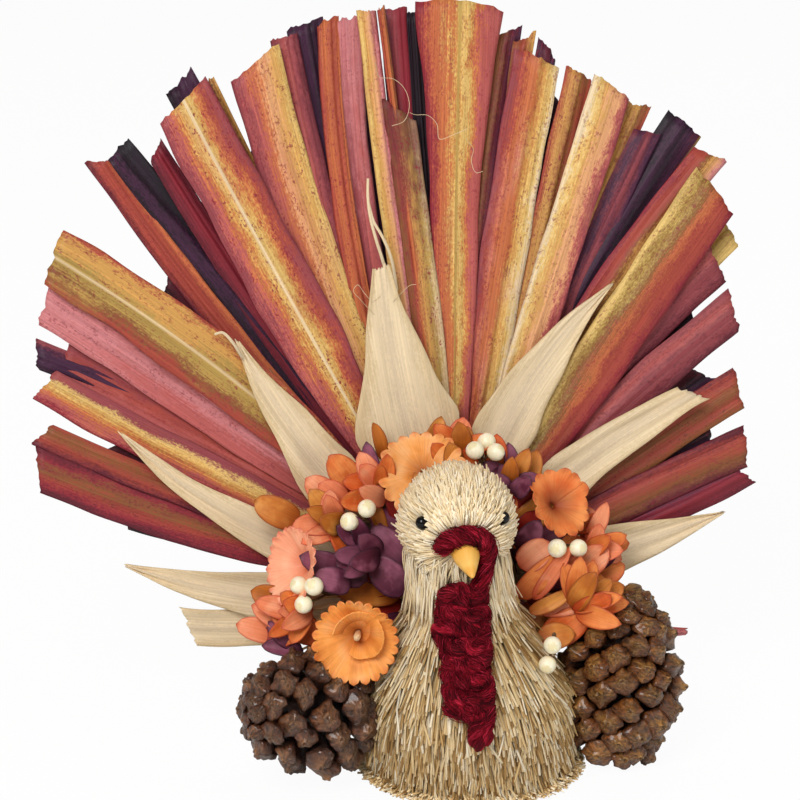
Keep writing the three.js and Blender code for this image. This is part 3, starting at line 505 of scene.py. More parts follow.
def widthAt(strip, r):
    t = (r - tail["root"]) / (strip["reach"] - tail["root"])
    belly, taper = (0.4, 1) if strip["dye"] == "natural" else (0.5, 2)
    if t < belly:
        return lerp(tail["rootWidth"], strip["middle"], smooth(t / belly))
    return lerp(strip["middle"], strip["tip"], ((t - belly) / (1 - belly)) ** taper)


def crosses(one, other):
    end = min(one["reach"] + abs(one["slant"]), other["reach"] + abs(other["slant"]))
    r = tail["root"]
    while r <= end:
        apart = math.radians(abs(bearingAt(one, r) - bearingAt(other, r))) * r
        if apart < (widthAt(one, r) + widthAt(other, r)) / 2 + 2 * tail["gap"]:
            return True
        r += 2
    return False


for i, strip in enumerate(strips):
    strip["layer"] = max([other["layer"] + 1 for other in strips[:i] if crosses(strip, other)], default=0)
topLayer = max(strip["layer"] for strip in strips)

huskForms = {
    "leaf": {"ragged": 2.6, "fuller": 1.12, "wave": 0.15},
    "strip": {"ragged": 1.5, "fuller": 1.06, "wave": 0.1},
    "steps": 44, "sides": 16, "roll": 4, "drawnTip": 4,
}


def huskSheet(batch, strip, seed):
    # a shallow roof with a raised rib, wavy edges and a straight slanting cut, or a cupped leaf with soft pleats
    rng = random.Random(seed)
    leafy = strip["dye"] == "natural"
    form = huskForms["leaf" if leafy else "strip"]
    phase = rng.uniform(0, 100)
    roll = rng.uniform(-huskForms["roll"], huskForms["roll"])
    curl = rng.uniform(-1.5, 2.5)
    fold = rng.choice((-1, 1)) * rng.uniform(0.3, 0.62)

    def spot(i, j):
        t, c = i / huskForms["steps"], -1 + 2 * j / huskForms["sides"]
        early, firm = smooth(t * 2), smooth(t * 3)
        tear = noise.noise((c * 2.1, phase, 3)) + 0.6 * noise.noise((c * 7, phase, 5))
        bulge = strip.get("bulge", 0) * (1 - c * c)
        reach = strip["reach"] + (c * strip["slant"] + bulge + tear * form["ragged"]) * t**4
        r = lerp(tail["root"], reach, t)
        bearing = math.radians(bearingAt(strip, r))
        wave = 1 + form["wave"] * noise.noise((r / 24, phase, 1 if c > 0 else 7)) * firm
        offset = c * widthAt(strip, min(r, strip["reach"])) / 2 * wave * form["fuller"]
        offset *= 1 - 0.75 * t**9 if strip["tip"] == huskForms["drawnTip"] else 1
        across = r * math.sin(bearing) + offset * math.cos(bearing)
        up = r * math.cos(bearing) - offset * math.sin(bearing)
        out = math.hypot(across, up)
        front = tail["gap"] + strip["layer"] * layerAt(out) + tail["thick"] / 2
        front += math.tan(math.radians(roll)) * offset * early
        front += 0.8 * noise.noise((r / 34, offset / 14, phase)) * early
        front += curl * smooth((t - 0.6) / 0.4) ** 2 - strip.get("sink", 0) * early
        if leafy:
            front += crownAt(out) * (1 - c * c) + 2.4 * c * c * early * (1 - 0.4 * t)
            front += 0.45 * math.sin(c * 8 + phase) * early + 1.4 * noise.noise((r / 30, c * 2.2, phase + 9))
        else:
            front += 1.2 * crownAt(out) * (1 - abs(c) ** 1.2)
            front += 0.5 * math.exp(-(c / 0.08) ** 2) * firm
            front += 0.3 * math.sin(c * 13 + phase) * firm
            front -= 0.7 * math.exp(-(((c - fold) / 0.13) ** 2)) * firm
        return tailPoint(across, up, front), (offset / uvUnit, r / uvUnit), c, t

    addSheet(batch, spot, huskForms["steps"] + 1, huskForms["sides"] + 1, rng.random())


undyedMaterial = dyedHusk("undyed corn husk", undyed)
for i, strip in enumerate(strips + tuckedStrips):
    name = strip["name"]
    cad = name in frame["nodes"]
    batch = newBatch()
    huskSheet(batch, strip, 100 + i)
    finish = undyedMaterial if strip["dye"] == "natural" else dyedHusk("dyed palm husk " + name[-2:], strip)
    makePiece(name + ("_sheet" if cad else "_strip"), batch, finish, [name] if cad else (),
              thickness=tail["sheet"])
# the dark back strips, painted shade in the gaps, go into one piece
batch = newBatch()
for i, (bearing, reach) in enumerate(backing["places"]):
    strip = huskRow("backing", bearing, backing["lean"], reach, backing["width"], backing["width"],
                    -backing["slant"] if i % 2 else backing["slant"], "maroon", layer=backing["layer"],
                    sink=backing["sink"])
    huskSheet(batch, strip, 160 + i)
makePiece("backing_strips", batch, dyedHusk("dark husk as painted shade", backing),
          thickness=tail["sheet"])

# torn strings at the tips of two leaves, and hair-fine fibres that curl over the strips: across, up
tornStrings = [
    [(-26.9, 134), (-29, 146), (-32.4, 158), (-34.6, 168), (-35.3, 177), (-35, 184)],
    [(-23.5, 134), (-25.5, 148), (-29.2, 158), (-33, 165), (-35, 173)],
    [(-93, 108), (-97.5, 115.5), (-101.5, 119.5), (-105, 119)],
]
curledFibres = [
    [(-34, 124), (-40, 131), (-43, 135), (-41, 137.5), (-38, 133.5), (-34.5, 130), (-31, 132)],
    [(-25.5, 129), (-21, 133.5), (-17.5, 136.2), (-15, 136.4)],
    [(-30.5, 234), (-29, 228), (-23, 227), (-18, 222.5), (-16, 215), (-18.5, 208.5), (-24, 206.5)],
    [(-16, 212), (-13.5, 211), (-8, 210.5), (-4, 206.5), (-3, 200), (3, 201.5), (9.5, 204)],
    [(9, 199), (12, 195), (11, 190), (13, 184.5), (16, 185)],
]


def overTail(strand, above):
    # points of a strand that lies some layers above the topmost strip
    return [tailPoint(u, v, tail["gap"] + (topLayer + above) * layerAt(math.hypot(u, v))) for u, v in strand]


leafStrings = newBatch()
for strand in tornStrings:
    outward = tailPoint(0, 0, 1) - tailPoint(0, 0, 0)
    addStrand(leafStrings, smoothPath(overTail(strand, 0.7), 24), outward, 1.5, 0.4, 0.4)
for strand in curledFibres:
    addTube(leafStrings, smoothPath(overTail(strand, 1.1), 48), [0.13] * 49, 5, 0.6)
makePiece("leaf_strings", leafStrings, undyedMaterial)
print("tail:", len(strips) + len(tuckedStrips) + len(backing["places"]), "strips and leaves in", topLayer + 1, "layers")

# Body and head: lengths of split natural fibre bound to a foam core and trimmed

body = {"height": 76, "skirt": 46.5, "neck": 21.5, "shoulder": 60, "rise": 60, "leanLeft": 6, "leanForward": 9}
head = {"height": 120.5, "radius": 25, "core": 17.5, "shell": 2.1, "beakPitch": -19, "eyeYaw": 52, "eyePitch": 13,
        "eyeRadius": 2.9, "eyeGap": 0.3, "eyeClear": 0.5, "beakClear": 5.6, "faceDepth": 17}


def leanAt(z):
    return Vector((-body["leanLeft"] * z / body["height"], -body["leanForward"] * z / body["height"], z))


def outlineRadius(z):
    return lerp(body["neck"], body["skirt"], smooth((body["shoulder"] - z) / body["rise"] + 0.5))


def compass(angle, r=1, z=0):
    # a point at an angle from the front, toward the viewer's right
    return Vector((r * math.sin(angle), -r * math.cos(angle), z))


headCentre = leanAt(head["height"])
shellRadius = head["core"] + head["shell"]
faceAxis = Vector((0, -math.cos(math.radians(head["beakPitch"])), math.sin(math.radians(head["beakPitch"]))))
eyeCentres = []
for side in (-1, 1):
    yaw, pitch = math.radians(head["eyeYaw"]) * side, math.radians(head["eyePitch"])
    look = compass(yaw, math.cos(pitch), math.sin(pitch))
    eyeCentres.append(headCentre + look * (shellRadius + head["eyeGap"] + head["eyeRadius"]))
# directions on the face that the strands keep clear, and how far
faceRooms = [(faceAxis, head["beakClear"])]
faceRooms += [((eye - headCentre).normalized(), head["eyeRadius"] + head["eyeClear"]) for eye in eyeCentres]

# the course of the wattle: over the beak, down the face and in folds down the breast
yarn = {"radius": 3.05, "seat": 0.9, "lift": 0.6, "halfWidth": 7.4, "passes": 7, "pitch": 7.2, "top": 95.5, "tail": 14,
        "offset": -5.2, "plies": 3, "plyRadius": 2.3, "plyOut": 2.0, "full": 4.2, "twist": 24, "fuzz": 6400,
        "uneven": 2.4, "under": 1.6}


def onHead(across, up):
    r = shellRadius + yarn["seat"] + yarn["radius"]
    return headCentre + Vector((across, -math.sqrt(r * r - across * across - up * up), up))


def onBreast(across, z, lift=0.0):
    slope = (outlineRadius(z - 1) - outlineRadius(z + 1)) / 2
    r = outlineRadius(z) + (yarn["radius"] + yarn["lift"]) * math.hypot(1, slope) + lift
    aside = yarn["offset"] + across + 0.05 * (z - 72)
    return leanAt(z) + Vector((aside, -math.sqrt(r * r - aside * aside), 0))


def foldCourse(first, deep, seed):
    # folds from side to side down the breast, then a loose end
    rng = random.Random(seed)
    points = []
    for run in range(yarn["passes"]):
        z = yarn["top"] - run * yarn["pitch"]
        side = -first if run % 2 else first
        sag = rng.uniform(-1, 1) * yarn["uneven"]
        half = yarn["halfWidth"] * rng.uniform(0.78, 1.14)
        for t in (0.8, 0.4, 0, -0.4, -0.8):
            dip = sag * (1 - t * t) + rng.uniform(-0.4, 0.4) * yarn["uneven"]
            lift = 1.4 * (1 - t * t) + rng.uniform(0, 3.4) - deep
            points.append(onBreast(side * t * half, z + dip, lift))
        turnAt = z - yarn["pitch"] * rng.uniform(0.4, 0.6)
        points.append(onBreast(-side * (half + rng.uniform(-0.4, 1.4)), turnAt, -deep / 2))
    low = yarn["top"] - yarn["passes"] * yarn["pitch"]
    for aside, down in ((3.6, 0.5), (2.2, 5.6), (2.2, yarn["tail"])):
        points.append(onBreast(aside + 1.9 * deep, low - down + 1.4 * deep, 1.8))
    return points


overFace = [onHead(x, z) for x, z in
            ((-10.8, -6.2), (-9.8, -2.6), (-6.4, 0.6), (-1, 1.6), (4.2, 1), (7.8, -1.8), (9.2, -6), (9.4, -12.4))]
yarnPath = smoothPath(overFace + foldCourse(1, 0, 30), 760)
underPath = smoothPath(foldCourse(-1, yarn["under"], 33), 560)
yarnTree = kdtree.KDTree(len(yarnPath) + len(underPath))
for k, point in enumerate(yarnPath + underPath):
    yarnTree.insert(point, k)
yarnTree.balance()


def clearOfFace(path, reach):
    # whether a strand keeps off the yarn, the beak and the eyes
    for point in path[1:]:
        outward = (point - headCentre).normalized()
        if min(yarnTree.find(point - outward * deep)[2] for deep in (0, 2.5)) < reach:
            return False
        for look, room in faceRooms:
            out = (point - headCentre).dot(look)
            if out > head["faceDepth"] and (point - headCentre - look * out).length < room:
                return False
    return True


def splitFibre(name, rootShade, paler):
    # dried palm fibre: straw coloured with darker streaks, shadowed at the root and pale at the cut end
    fibre = Finish(name)
    # streaks 0.3 mm wide and 8 mm long
    streak = fibre.noise(fibre.ownGrain((53, 71, 17)), (330, 12, 1), 3.0)
    straw = fibre.ramp(fibre.span(fibre.read("tone"), paler, 1.0), (0.0, "#8f6633"), (0.2, "#cba468"),
                       (0.5, "#e9cb96"), (0.8, "#f5e0b8"), (1.0, "#fbeed4"))
    root = fibre.span(fibre.read("along"), rootShade, 1.08, 0.15, 0.95)
    shade = fibre.math("MULTIPLY", root, fibre.span(streak, 0.8, 1.1, 0.3, 0.7))
    return fibre.done(fibre.scaled(straw, shade), 0.6, (streak, 0.4, 0.0002), {"IOR": 1.5, "Specular IOR Level": 0.3})


fibreMaterial = splitFibre("split palm fibre", 0.12, 0.0)
# the head's copy of the fibre is paler and hardly darkened at the root: painted light on the head
headMaterial = splitFibre("palm fibre lightened as painted light", 0.8, 0.62)
bodyBristles = {"count": 9000, "width": 1.05, "widest": 1.25, "thick": 0.6, "drop": 30, "trim": 1.2, "stray": 0.02,
                "clear": 3.3}
headBristles = {"count": 6000, "neck": 900, "width": 0.95, "widest": 1.2, "thick": 0.5, "sweep": 27, "stray": 0.03,
                "clear": 2.8, "neckClear": 3.2}


def twisted(outward, amount, rng):
    return (outward + Vector([rng.gauss(0, amount) for _ in range(3)])).normalized()


def addBristle(batch, path, outward, bristle, rng):
    addStrand(batch, path, outward, bristle["width"] * rng.uniform(0.6, bristle["widest"]),
              bristle["thick"] * rng.uniform(0.7, 1.2), rng.random())


def bodyStrands(low, high, count, seed):
    # strands rooted on the core between two heights, hanging down and outward over those below
    rng = random.Random(seed)
    batch = newBatch()
    made = 0
    while made < count:
        z = rng.uniform(low, high)
        if rng.random() > outlineRadius(z) / body["skirt"]:
            continue
        made += 1
        angle = rng.uniform(-math.pi, math.pi)
        drop = bodyBristles["drop"] * rng.uniform(0.7, 1.2)
        drift = rng.gauss(0, 0.07)
        proud = rng.gauss(0.2, 1.0)
        if rng.random() < bodyBristles["stray"] and z - drop > 8:
            drift, proud = rng.gauss(0, 0.18), proud + rng.uniform(1.5, 4.5)
        floorAt = bodyBristles["trim"] + abs(rng.gauss(0, 1.6))
        path = []
        for t in (0, 0.35, 0.7, 1):
            down = max(z - drop * t, floorAt)
            r = outlineRadius(down) - lerp(6.5, -proud, t**0.85)
            if z - drop * t < floorAt:
                r += min(0.25 * (floorAt - z + drop * t), 3)
            path.append(leanAt(down) + compass(angle + drift * t, r))
        if (path[-1] - path[-2]).length < 0.5 or not clearOfFace(path, bodyBristles["clear"]):
            continue
        outward = compass(angle, z=0.35).normalized()
        addBristle(batch, path, twisted(outward, 0.3, rng), bodyBristles, rng)
    return batch


def headStrands(seed):
    # strands that leave the face and sweep back over the ball, cut to its round outline
    rng = random.Random(seed)
    batch = newBatch()
    sideways = faceAxis.orthogonal().normalized()
    other = faceAxis.cross(sideways)
    for _ in range(headBristles["count"]):
        polar = math.acos(rng.uniform(math.cos(math.radians(172)), math.cos(math.radians(20))))
        turn = rng.uniform(0, fullTurn)
        sweep = math.radians(headBristles["sweep"] * rng.uniform(0.7, 1.15)) * min(1, polar / 0.5)
        tipRadius = head["radius"] + rng.gauss(0, 0.7)
        if rng.random() < headBristles["stray"]:
            tipRadius += rng.uniform(0.8, 2)
        drift = rng.gauss(0, 0.08)
        path = []
        for t in (0, 0.4, 0.75, 1):
            p = polar - sweep * (1 - t)
            a = turn + drift * (t - 0.5)
            r = lerp(shellRadius - 1.5, tipRadius, t**0.75)
            way = faceAxis * math.cos(p) + (sideways * math.cos(a) + other * math.sin(a)) * math.sin(p)
            path.append(headCentre + way * r)
        if way.z < -0.3:
            # under the cheeks the strands turn down over the neck
            hang = rng.uniform(0, 7) * smooth((-0.3 - way.z) / 0.3)
            path[2].z -= 0.4 * hang
            path[3] += Vector((-way.x, -way.y, 0)) * (0.12 * hang) - Vector((0, 0, hang))
        if clearOfFace(path, headBristles["clear"]):
            outward = (path[-1] - headCentre).normalized()
            addBristle(batch, path, twisted(outward, 0.4, rng), headBristles, rng)
    # strands from the lower half of the ball hang over the neck
    for _ in range(headBristles["neck"]):
        angle = rng.uniform(-math.pi, math.pi)
        start, drop = rng.uniform(9, 24), rng.uniform(12, 24)
        top = max(math.sqrt(head["radius"] ** 2 - start**2), 20) - rng.uniform(0.8, 2.4)
        low = outlineRadius(head["height"] - start - drop) + rng.gauss(0.9, 0.7)
        drift = rng.gauss(0, 0.07)
        path = []
        for t in (0, 0.35, 0.7, 1):
            z = head["height"] - start - drop * t
            centre = headCentre.lerp(leanAt(z), smooth(t))
            r = lerp(top, low, t) + 0.8 * math.sin(math.pi * t)
            turn = angle + drift * t
            path.append(Vector((centre.x + r * math.sin(turn), centre.y - r * math.cos(turn), z)))
        if clearOfFace(path, headBristles["neckClear"]):
            outward = compass(angle, z=0.2 + rng.gauss(0, 0.3)).normalized()
            addBristle(batch, path, outward, headBristles, rng)
    return batch


half = bodyBristles["count"] // 2
for name, batch, finish, node in (
        ("breastFibres", bodyStrands(46, 112, half, 11), fibreMaterial, "breast_bristles"),
        ("skirtFibres", bodyStrands(6, 52, half, 12), fibreMaterial, "skirt_bristles"),
        ("headFibres", headStrands(13), headMaterial, "head_bristles")):
    makePiece(name, batch, finish, [node])
print("bristles:", bodyBristles["count"], "on the body and", headBristles["count"], "on the head")

# Eyes: black glass beads with a thread hole

# polished glass: near black, sharp highlights, a breath of cloudiness
bead = Finish("black glass bead")
spots = bead.node("TexNoise", {"Scale": 900.0, "Detail": 2.0})
beadMaterial = bead.done(bead.ramp(spots, (0.3, "#050506"), (0.8, "#0c0c10")), bead.span(spots, 0.05, 0.16),
                         more={"IOR": 1.52, "Specular IOR Level": 0.25})


def addBead(batch, centre, axis, radius, tone, dimple):
    # ball with a small dimple at each end of its axis
    turn = zAxis.rotation_difference(axis)
    sides, rings = 20, 14

    def spot(i, j):
        a, b = math.pi * i / rings, fullTurn * j / sides
        r = radius * (1 - dimple * math.exp(-((math.sin(a) / 0.22) ** 2)))
        way = turn @ Vector((math.sin(a) * math.cos(b), math.sin(a) * math.sin(b), math.cos(a)))
        return centre + way * r, (b * radius / uvUnit, a * radius / uvUnit), math.cos(b), i / rings

    addSheet(batch, spot, rings + 1, sides, tone, ring=True)


for eyeName, centre in zip(("left_eye", "right_eye"), eyeCentres):
    batch = newBatch()
    addBead(batch, centre, Vector((0, 0.3, 1)).normalized(), head["eyeRadius"], 0.5, 0.06)
    makePiece(eyeName + "_bead", batch, beadMaterial, [eyeName])

# Beak: a straight cone with a rounded tip and a low ridge

beak = {"length": 20, "radius": 6.6, "seat": 18.6, "ridge": 0.07, "steps": 30, "sides": 32,
        "profile": ((0, 1), (0.35, 0.82), (0.7, 0.46), (0.9, 0.22), (0.97, 0.12), (1, 0.02))}
# painted clay with brush streaks 0.8 mm wide along the beak
clay = Finish("painted beak clay")
streak = clay.noise(clay.grain(), (120, 14, 1), 4.0)
paint = clay.ramp(clay.math("MULTIPLY_ADD", streak, 0.4, clay.read("along")),
                  (0.15, "#e09a38"), (0.5, "#eeb04c"), (0.9, "#f4c064"), (1.0, "#eaac4a"))
beakMaterial = clay.done(paint, clay.span(streak, 0.32, 0.5), (streak, 0.25, 0.0003),
                         {"Subsurface Weight": 0.12, "Subsurface Radius": (0.0015, 0.0008, 0.0004)})
upright = faceAxis.cross(Vector((1, 0, 0)))


def beakSpot(i, j):
    t, a = i / beak["steps"], fullTurn * j / beak["sides"]
    (t0, r0), (t1, r1) = next(pair for pair in zip(beak["profile"], beak["profile"][1:]) if t <= pair[1][0])
    half = beak["radius"] * lerp(r0, r1, (t - t0) / (t1 - t0))
    ridge = 1 + beak["ridge"] * max(0, math.sin(a)) ** 8
    point = headCentre + faceAxis * (beak["seat"] + beak["length"] * t)
    point += (Vector((math.cos(a), 0, 0)) + upright * math.sin(a)) * (half * ridge)
    return point, (a * 6 / uvUnit, beak["length"] * t / uvUnit), math.cos(a), t


batch = newBatch()
addSheet(batch, beakSpot, beak["steps"] + 1, beak["sides"], 0.5, ring=True, caps=(True, True))
makePiece("beakCone", batch, beakMaterial, ["beak"])

# Wattle: soft red roving, three plies with a nap of loose fibres

# loosely spun wool: matt deep red, fine fibres running round the twist, with painted shade in the folds
wool = Finish("red wool roving")
# fibres drawn 0.35 mm wide by 5 mm long, coarser than wool's 0.03 mm so that they show
fibre = wool.noise(wool.ownGrain((29, 61, 7)), (280, 20, 1), 4.0, turn=0.5)
strong = wool.span(fibre, 0.1, 0.7, 0.36, 0.64)
red = wool.ramp(wool.math("MULTIPLY_ADD", wool.read("tone"), 0.6, strong),
                (0.25, "#1e0106"), (0.55, "#5c0211"), (0.85, "#96081f"), (1.0, "#c22b45"))
yarnMaterial = wool.done(red, 0.9, (fibre, 0.9, 0.0006), {"Specular IOR Level": 0.15, "Sheen Weight": 0.06,
                                                          "Sheen Roughness": 0.5, "Sheen Tint": linear("#c0384e")})
batch = newBatch()
rng = random.Random(31)
for course, path in enumerate((yarnPath, underPath)):
    spine = list(carried(path))
    whole = spine[-1][3]

    def around(k, angle, reach):
        point, side, other = spine[k][:3]
        return point + (side * math.cos(angle) + other * math.sin(angle)) * reach

    for ply in range(yarn["plies"]):
        strand, radii = [], []
        for k, (_, _, _, run) in enumerate(spine):
            angle = fullTurn * (run / yarn["twist"] + ply / yarn["plies"])
            close = min(1, (run + 1) / 4, (whole - run + 0.5) / 4)
            strand.append(around(k, angle, yarn["plyOut"] * close))
            swell = 1 + 0.16 * noise.noise((run / 6, ply * 5, course))
            radii.append(yarn["plyRadius"] * (0.5 + 0.5 * close) * swell)
        addTube(batch, strand, radii, 10, 0.15 + 0.22 * ply,
                lambda a, run: 1 + 0.1 * noise.noise((run / 3, math.cos(a) * 1.6, math.sin(a) * 1.6)))
    for i in range(yarn["fuzz"] // (1 + course)):
        start = rng.randint(2, len(path) - 16)
        span = rng.randint(5, 12)
        phase = rng.uniform(0, fullTurn)
        lift = yarn["full"] * rng.uniform(0.85, 1.06)
        stray = rng.uniform(0.2, 0.45) if rng.random() < 0.1 else 0.0
        fuzz = [around(start + int(s * span / 4), phase + s * 0.32, lift + stray * s + 0.12 * math.sin(s * 0.8))
                for s in range(5)]
        # darker and lighter patches of about 4 mm: painted shade in the hollows and painted highlight on the folds
        paintedShadePatch = 0.42 + 0.95 * noise.noise(fuzz[2] / 3.6) + rng.uniform(-0.2, 0.2)
        addTube(batch, fuzz, [0.1, 0.14, 0.14, 0.12, 0.05], 3, min(max(paintedShadePatch, 0), 1))
makePiece("wattleRoving", batch, yarnMaterial, ["wattle_yarn"])
print("yarn:", len(yarnPath), "sections and", yarn["fuzz"], "loose fibres")

# Pine cones: woody scales in a spiral, each a dark stalk that swells into a rhombic end with a worn point

# wood gives the colours from stalk to point; the two near-black first ones are painted shade deep between the scales
pineCones = {
    "left_pine_cone": {"radius": 29, "length": 60, "scales": 62, "at": (-79.5, -11, 36), "axis": (-0.9, -0.3, 0.3),
                       "lowest": -14, "seed": 14, "wood": ("#0c0603", "#211008", "#472516", "#5e351e", "#8e6442")},
    "right_pine_cone": {"radius": 30, "length": 86, "scales": 94, "at": (68, -2, 46), "axis": (0.16, 0.05, 0.98),
                        "lowest": -16, "seed": 15, "wood": ("#0e0603", "#281307", "#552b11", "#74411a", "#a0733a")},
}
# a scale's width as a share of the cone's radius, its height as a share of that, and its stations: place, width, height
scaleForm = {
    "width": 0.43, "height": 0.9, "sides": 22, "spiral": math.radians(137.5), "floor": 0.4,
    "stations": [(0.0, 0.3, 0.22), (0.3, 0.42, 0.26), (0.52, 0.54, 0.34), (0.68, 0.72, 0.52), (0.77, 0.93, 0.8),
                 (0.83, 1.04, 1.0), (0.87, 1.02, 1.02), (0.905, 0.86, 0.86), (0.93, 0.64, 0.62), (0.945, 0.44, 0.4),
                 (0.95, 0.36, 0.31), (0.985, 0.29, 0.24), (0.99, 0.19, 0.15), (0.955, 0.09, 0.07)],
    "spindle": [(0.06, 0.3), (0.25, 0.5), (0.5, 0.46), (0.75, 0.32), (0.9, 0.1)],
}


def coneWood(name, wood):
    # weathered cone scale: dark brown at the stalk and near black deep in, a painted shade between the scales; warm
    # brown and varnished by resin at the end, palest at the point
    look = Finish(name)
    place = look.ownGrain((41, 23, 67))
    # wrinkles about 1.7 by 1.2 mm, blotches of 4.5 mm
    wrinkle = look.noise(place, (60, 85, 1), 5.0, 0.62)
    jitter = look.math("MULTIPLY_ADD", look.noise(place, 22.0, 3.0), 0.22, -0.11)
    brown = look.ramp(look.math("ADD", look.read("along"), jitter), *zip((0.0, 0.5, 0.74, 0.9, 1.0), wood))
    # the wrinkle that raises the bump also scales the colour from 0.25 to 1.5: painted shade in its hollows and painted
    # highlight on its crests; the tone varies each scale at random
    shade = look.math("MULTIPLY", look.span(wrinkle, 0.25, 1.5, 0.36, 0.64), look.span(look.read("tone"), 0.72, 1.2))
    return look.done(look.scaled(brown, shade), look.span(wrinkle, 0.5, 0.24), (wrinkle, 1.0, 0.002),
                     {"IOR": 1.5, "Specular IOR Level": 0.35, "Coat Weight": 0.5, "Coat Roughness": 0.18})


def signedPower(value, power):
    return math.copysign(abs(value) ** power, value)


def addScale(batch, matrix, reach, width, height, rng):
    # a flat stalk that swells into a rough rhombic end with a blunt keel and a small ringed point
    phase = rng.uniform(0, 100)
    leanY, leanZ = rng.uniform(-0.3, 0.3), rng.uniform(-0.35, 0.15)

    def spot(i, j):
        t, w, h = scaleForm["stations"][i]
        a = fullTurn * j / scaleForm["sides"]
        out = smooth((t - 0.6) / 0.25)
        y = signedPower(math.cos(a), lerp(0.9, 1.3, out)) * w * width / 2
        z = signedPower(math.sin(a), lerp(0.9, 1.25, out)) * h * height / 2
        lump = 1 + out * 0.34 * noise.noise((math.cos(a) * 1.4 + phase, math.sin(a) * 1.4, t * 3))
        lump += 0.22 * noise.noise((math.cos(a) * 3.6 + phase, math.sin(a) * 3.6, t * 11))
        keel = 0.05 * reach * math.exp(-((z / (0.16 * height)) ** 2)) * max(0, 1 - abs(y) / width * 1.6)
        pit = 0.8 * noise.noise((y * 0.55 + phase, z * 0.55, t * 6))
        x = t * reach + out * (keel * smooth((t - 0.8) / 0.1) + leanY * y + leanZ * z + pit)
        point = matrix @ Vector((x, y * lump, z * lump))
        point.z = max(point.z, scaleForm["floor"])
        return point, (y / uvUnit + a * 0.02, t * reach / uvUnit + z / uvUnit), math.cos(a), t

    addSheet(batch, spot, len(scaleForm["stations"]), scaleForm["sides"], rng.random(), ring=True, caps=(True, True))


for coneName, cone in pineCones.items():
    rng = random.Random(cone["seed"])
    radius, length = cone["radius"], cone["length"]
    axis = Vector(cone["axis"]).normalized()
    base = Matrix.Translation(Vector(cone["at"]) - axis * (length / 2))
    base = base @ zAxis.rotation_difference(axis).to_matrix().to_4x4()
    batch = newBatch()
    core = [base @ Vector((0, 0, length * t)) for t, _ in scaleForm["spindle"]]
    addTube(batch, core, [radius * r for _, r in scaleForm["spindle"]], 14, 0.1)
    for i in range(cone["scales"]):
        t = 1 - (1 - (i + 0.5) / cone["scales"]) ** 0.72
        girth = math.sin(math.pi * lerp(0.24, 0.93, t)) ** 0.8
        rise = math.radians(lerp(cone["lowest"], 70, t**1.2) + rng.uniform(-5, 5))
        size = lerp(1.05, 0.8, t**1.5) * rng.uniform(0.88, 1.12)
        turn = Matrix.Rotation(i * scaleForm["spiral"] + rng.uniform(-0.05, 0.05), 4, "Z")
        lift = Matrix.Translation((0, 0, length * lerp(0.08, 0.78, t)))
        matrix = base @ lift @ turn @ Matrix.Rotation(-rise, 4, "Y")
        matrix = matrix @ Matrix.Rotation(rng.uniform(-0.25, 0.25), 4, "X")
        addScale(batch, matrix, radius * girth * rng.uniform(0.94, 1.02), radius * scaleForm["width"] * size,
                 radius * scaleForm["width"] * scaleForm["height"] * size, rng)
    wood = coneWood(coneName.split("_")[0] + " pine cone wood", cone["wood"])
    makePiece(coneName + "_scales", batch, wood, [coneName])
print("pine cones:", sum(cone["scales"] for cone in pineCones.values()), "scales")

# Flowers: dyed wood shavings rolled into trumpets and cut into petals, on a foam collar

# blush is the colour at the heart of a trumpet and the root of a petal: part a deeper dye, part painted shade
lookRow = rowOf("deep mid pale edge blush")
shavingLooks = {
    "orange": lookRow("#a53614", "#d35e25", "#e98c48", "#a02c16", "#a0300f"),
    "brown": lookRow("#8f4616", "#bd6a22", "#d68e40", "#8a3a14", "#94400f"),
    "salmon": lookRow("#c25a38", "#e58155", "#f0a077", "#b8402c", "#c04a28"),
    "amber": lookRow("#c86e24", "#f09c4a", "#f8ba7c", "#c4501c", "#a8501a"),
    "coral": lookRow("#e4845f", "#f7a47e", "#fabd98", "#c9483a", "#cc6440"),
    "flame": lookRow("#b4421a", "#dc682c", "#ea9250", "#a02c16", "#6a0a06", heart=0.72),
    "purple": lookRow("#34101f", "#63273c", "#96546a", "#1d0816", "#3a1226"),
    # deep red goes on petals that are part dyed bits, part painted shade among the flowers
    "red": lookRow("#5c0c0c", "#8e1a12", "#b2321c", "#480a0a", "#6c100c"),
}


def dyedShaving(name, look):
    # thin wood shaving: matt dye that leaves straight grain lines and a darker cut edge
    shaving = Finish(name)
    place = shaving.ownGrain((19, 83, 31))
    # grain lines 0.7 mm apart and 18 mm long, clouds of dye 9 mm across
    grain = shaving.noise(place, (140, 5.5, 1), 4.0)
    mixed = shaving.math("MULTIPLY_ADD", shaving.noise(place, 11.0, 3.0), 0.9, shaving.read("tone"))
    colour = shaving.ramp(mixed, (0.2, look["deep"]), (0.5, look["mid"]), (0.85, look["pale"]), (1.0, look["mid"]))
    # toward the heart and the root the colour runs into the blush: part a deeper dye, part painted shade down in the
    # bowl and among the blades
    blush = shaving.span(shaving.read("along"), 0.95, 0.0, 0.0, look.get("heart", 0.48))
    colour = shaving.mix(blush, colour, look["blush"])
    colour = shaving.mix(shaving.span(shaving.read("across"), 0, 0.7, 0.8, 1.0), colour, look["edge"])
    colour = shaving.scaled(colour, shaving.span(grain, 0.85, 1.08, 0.28, 0.72))
    return shaving.done(colour, shaving.span(grain, 0.62, 0.46), (grain, 0.35, 0.0003),
                        {"IOR": 1.48, "Specular IOR Level": 0.3})


shavings = {dye: dyedShaving(dye + " dyed wood shaving", look) for dye, look in shavingLooks.items()}


def makeShaving(name, batch, dye, nodes=()):
    makePiece(name, batch, shavings[dye], nodes, thickness=0.45)


# turned twig: pale wood stick with fine long grain
twig = Finish("pale twig wood")
grain = twig.noise(twig.grain(), (200, 12, 1), 4.0)
twigMaterial = twig.done(twig.ramp(grain, (0.3, "#b78a5c"), (0.7, "#e3bf92")), 0.7)

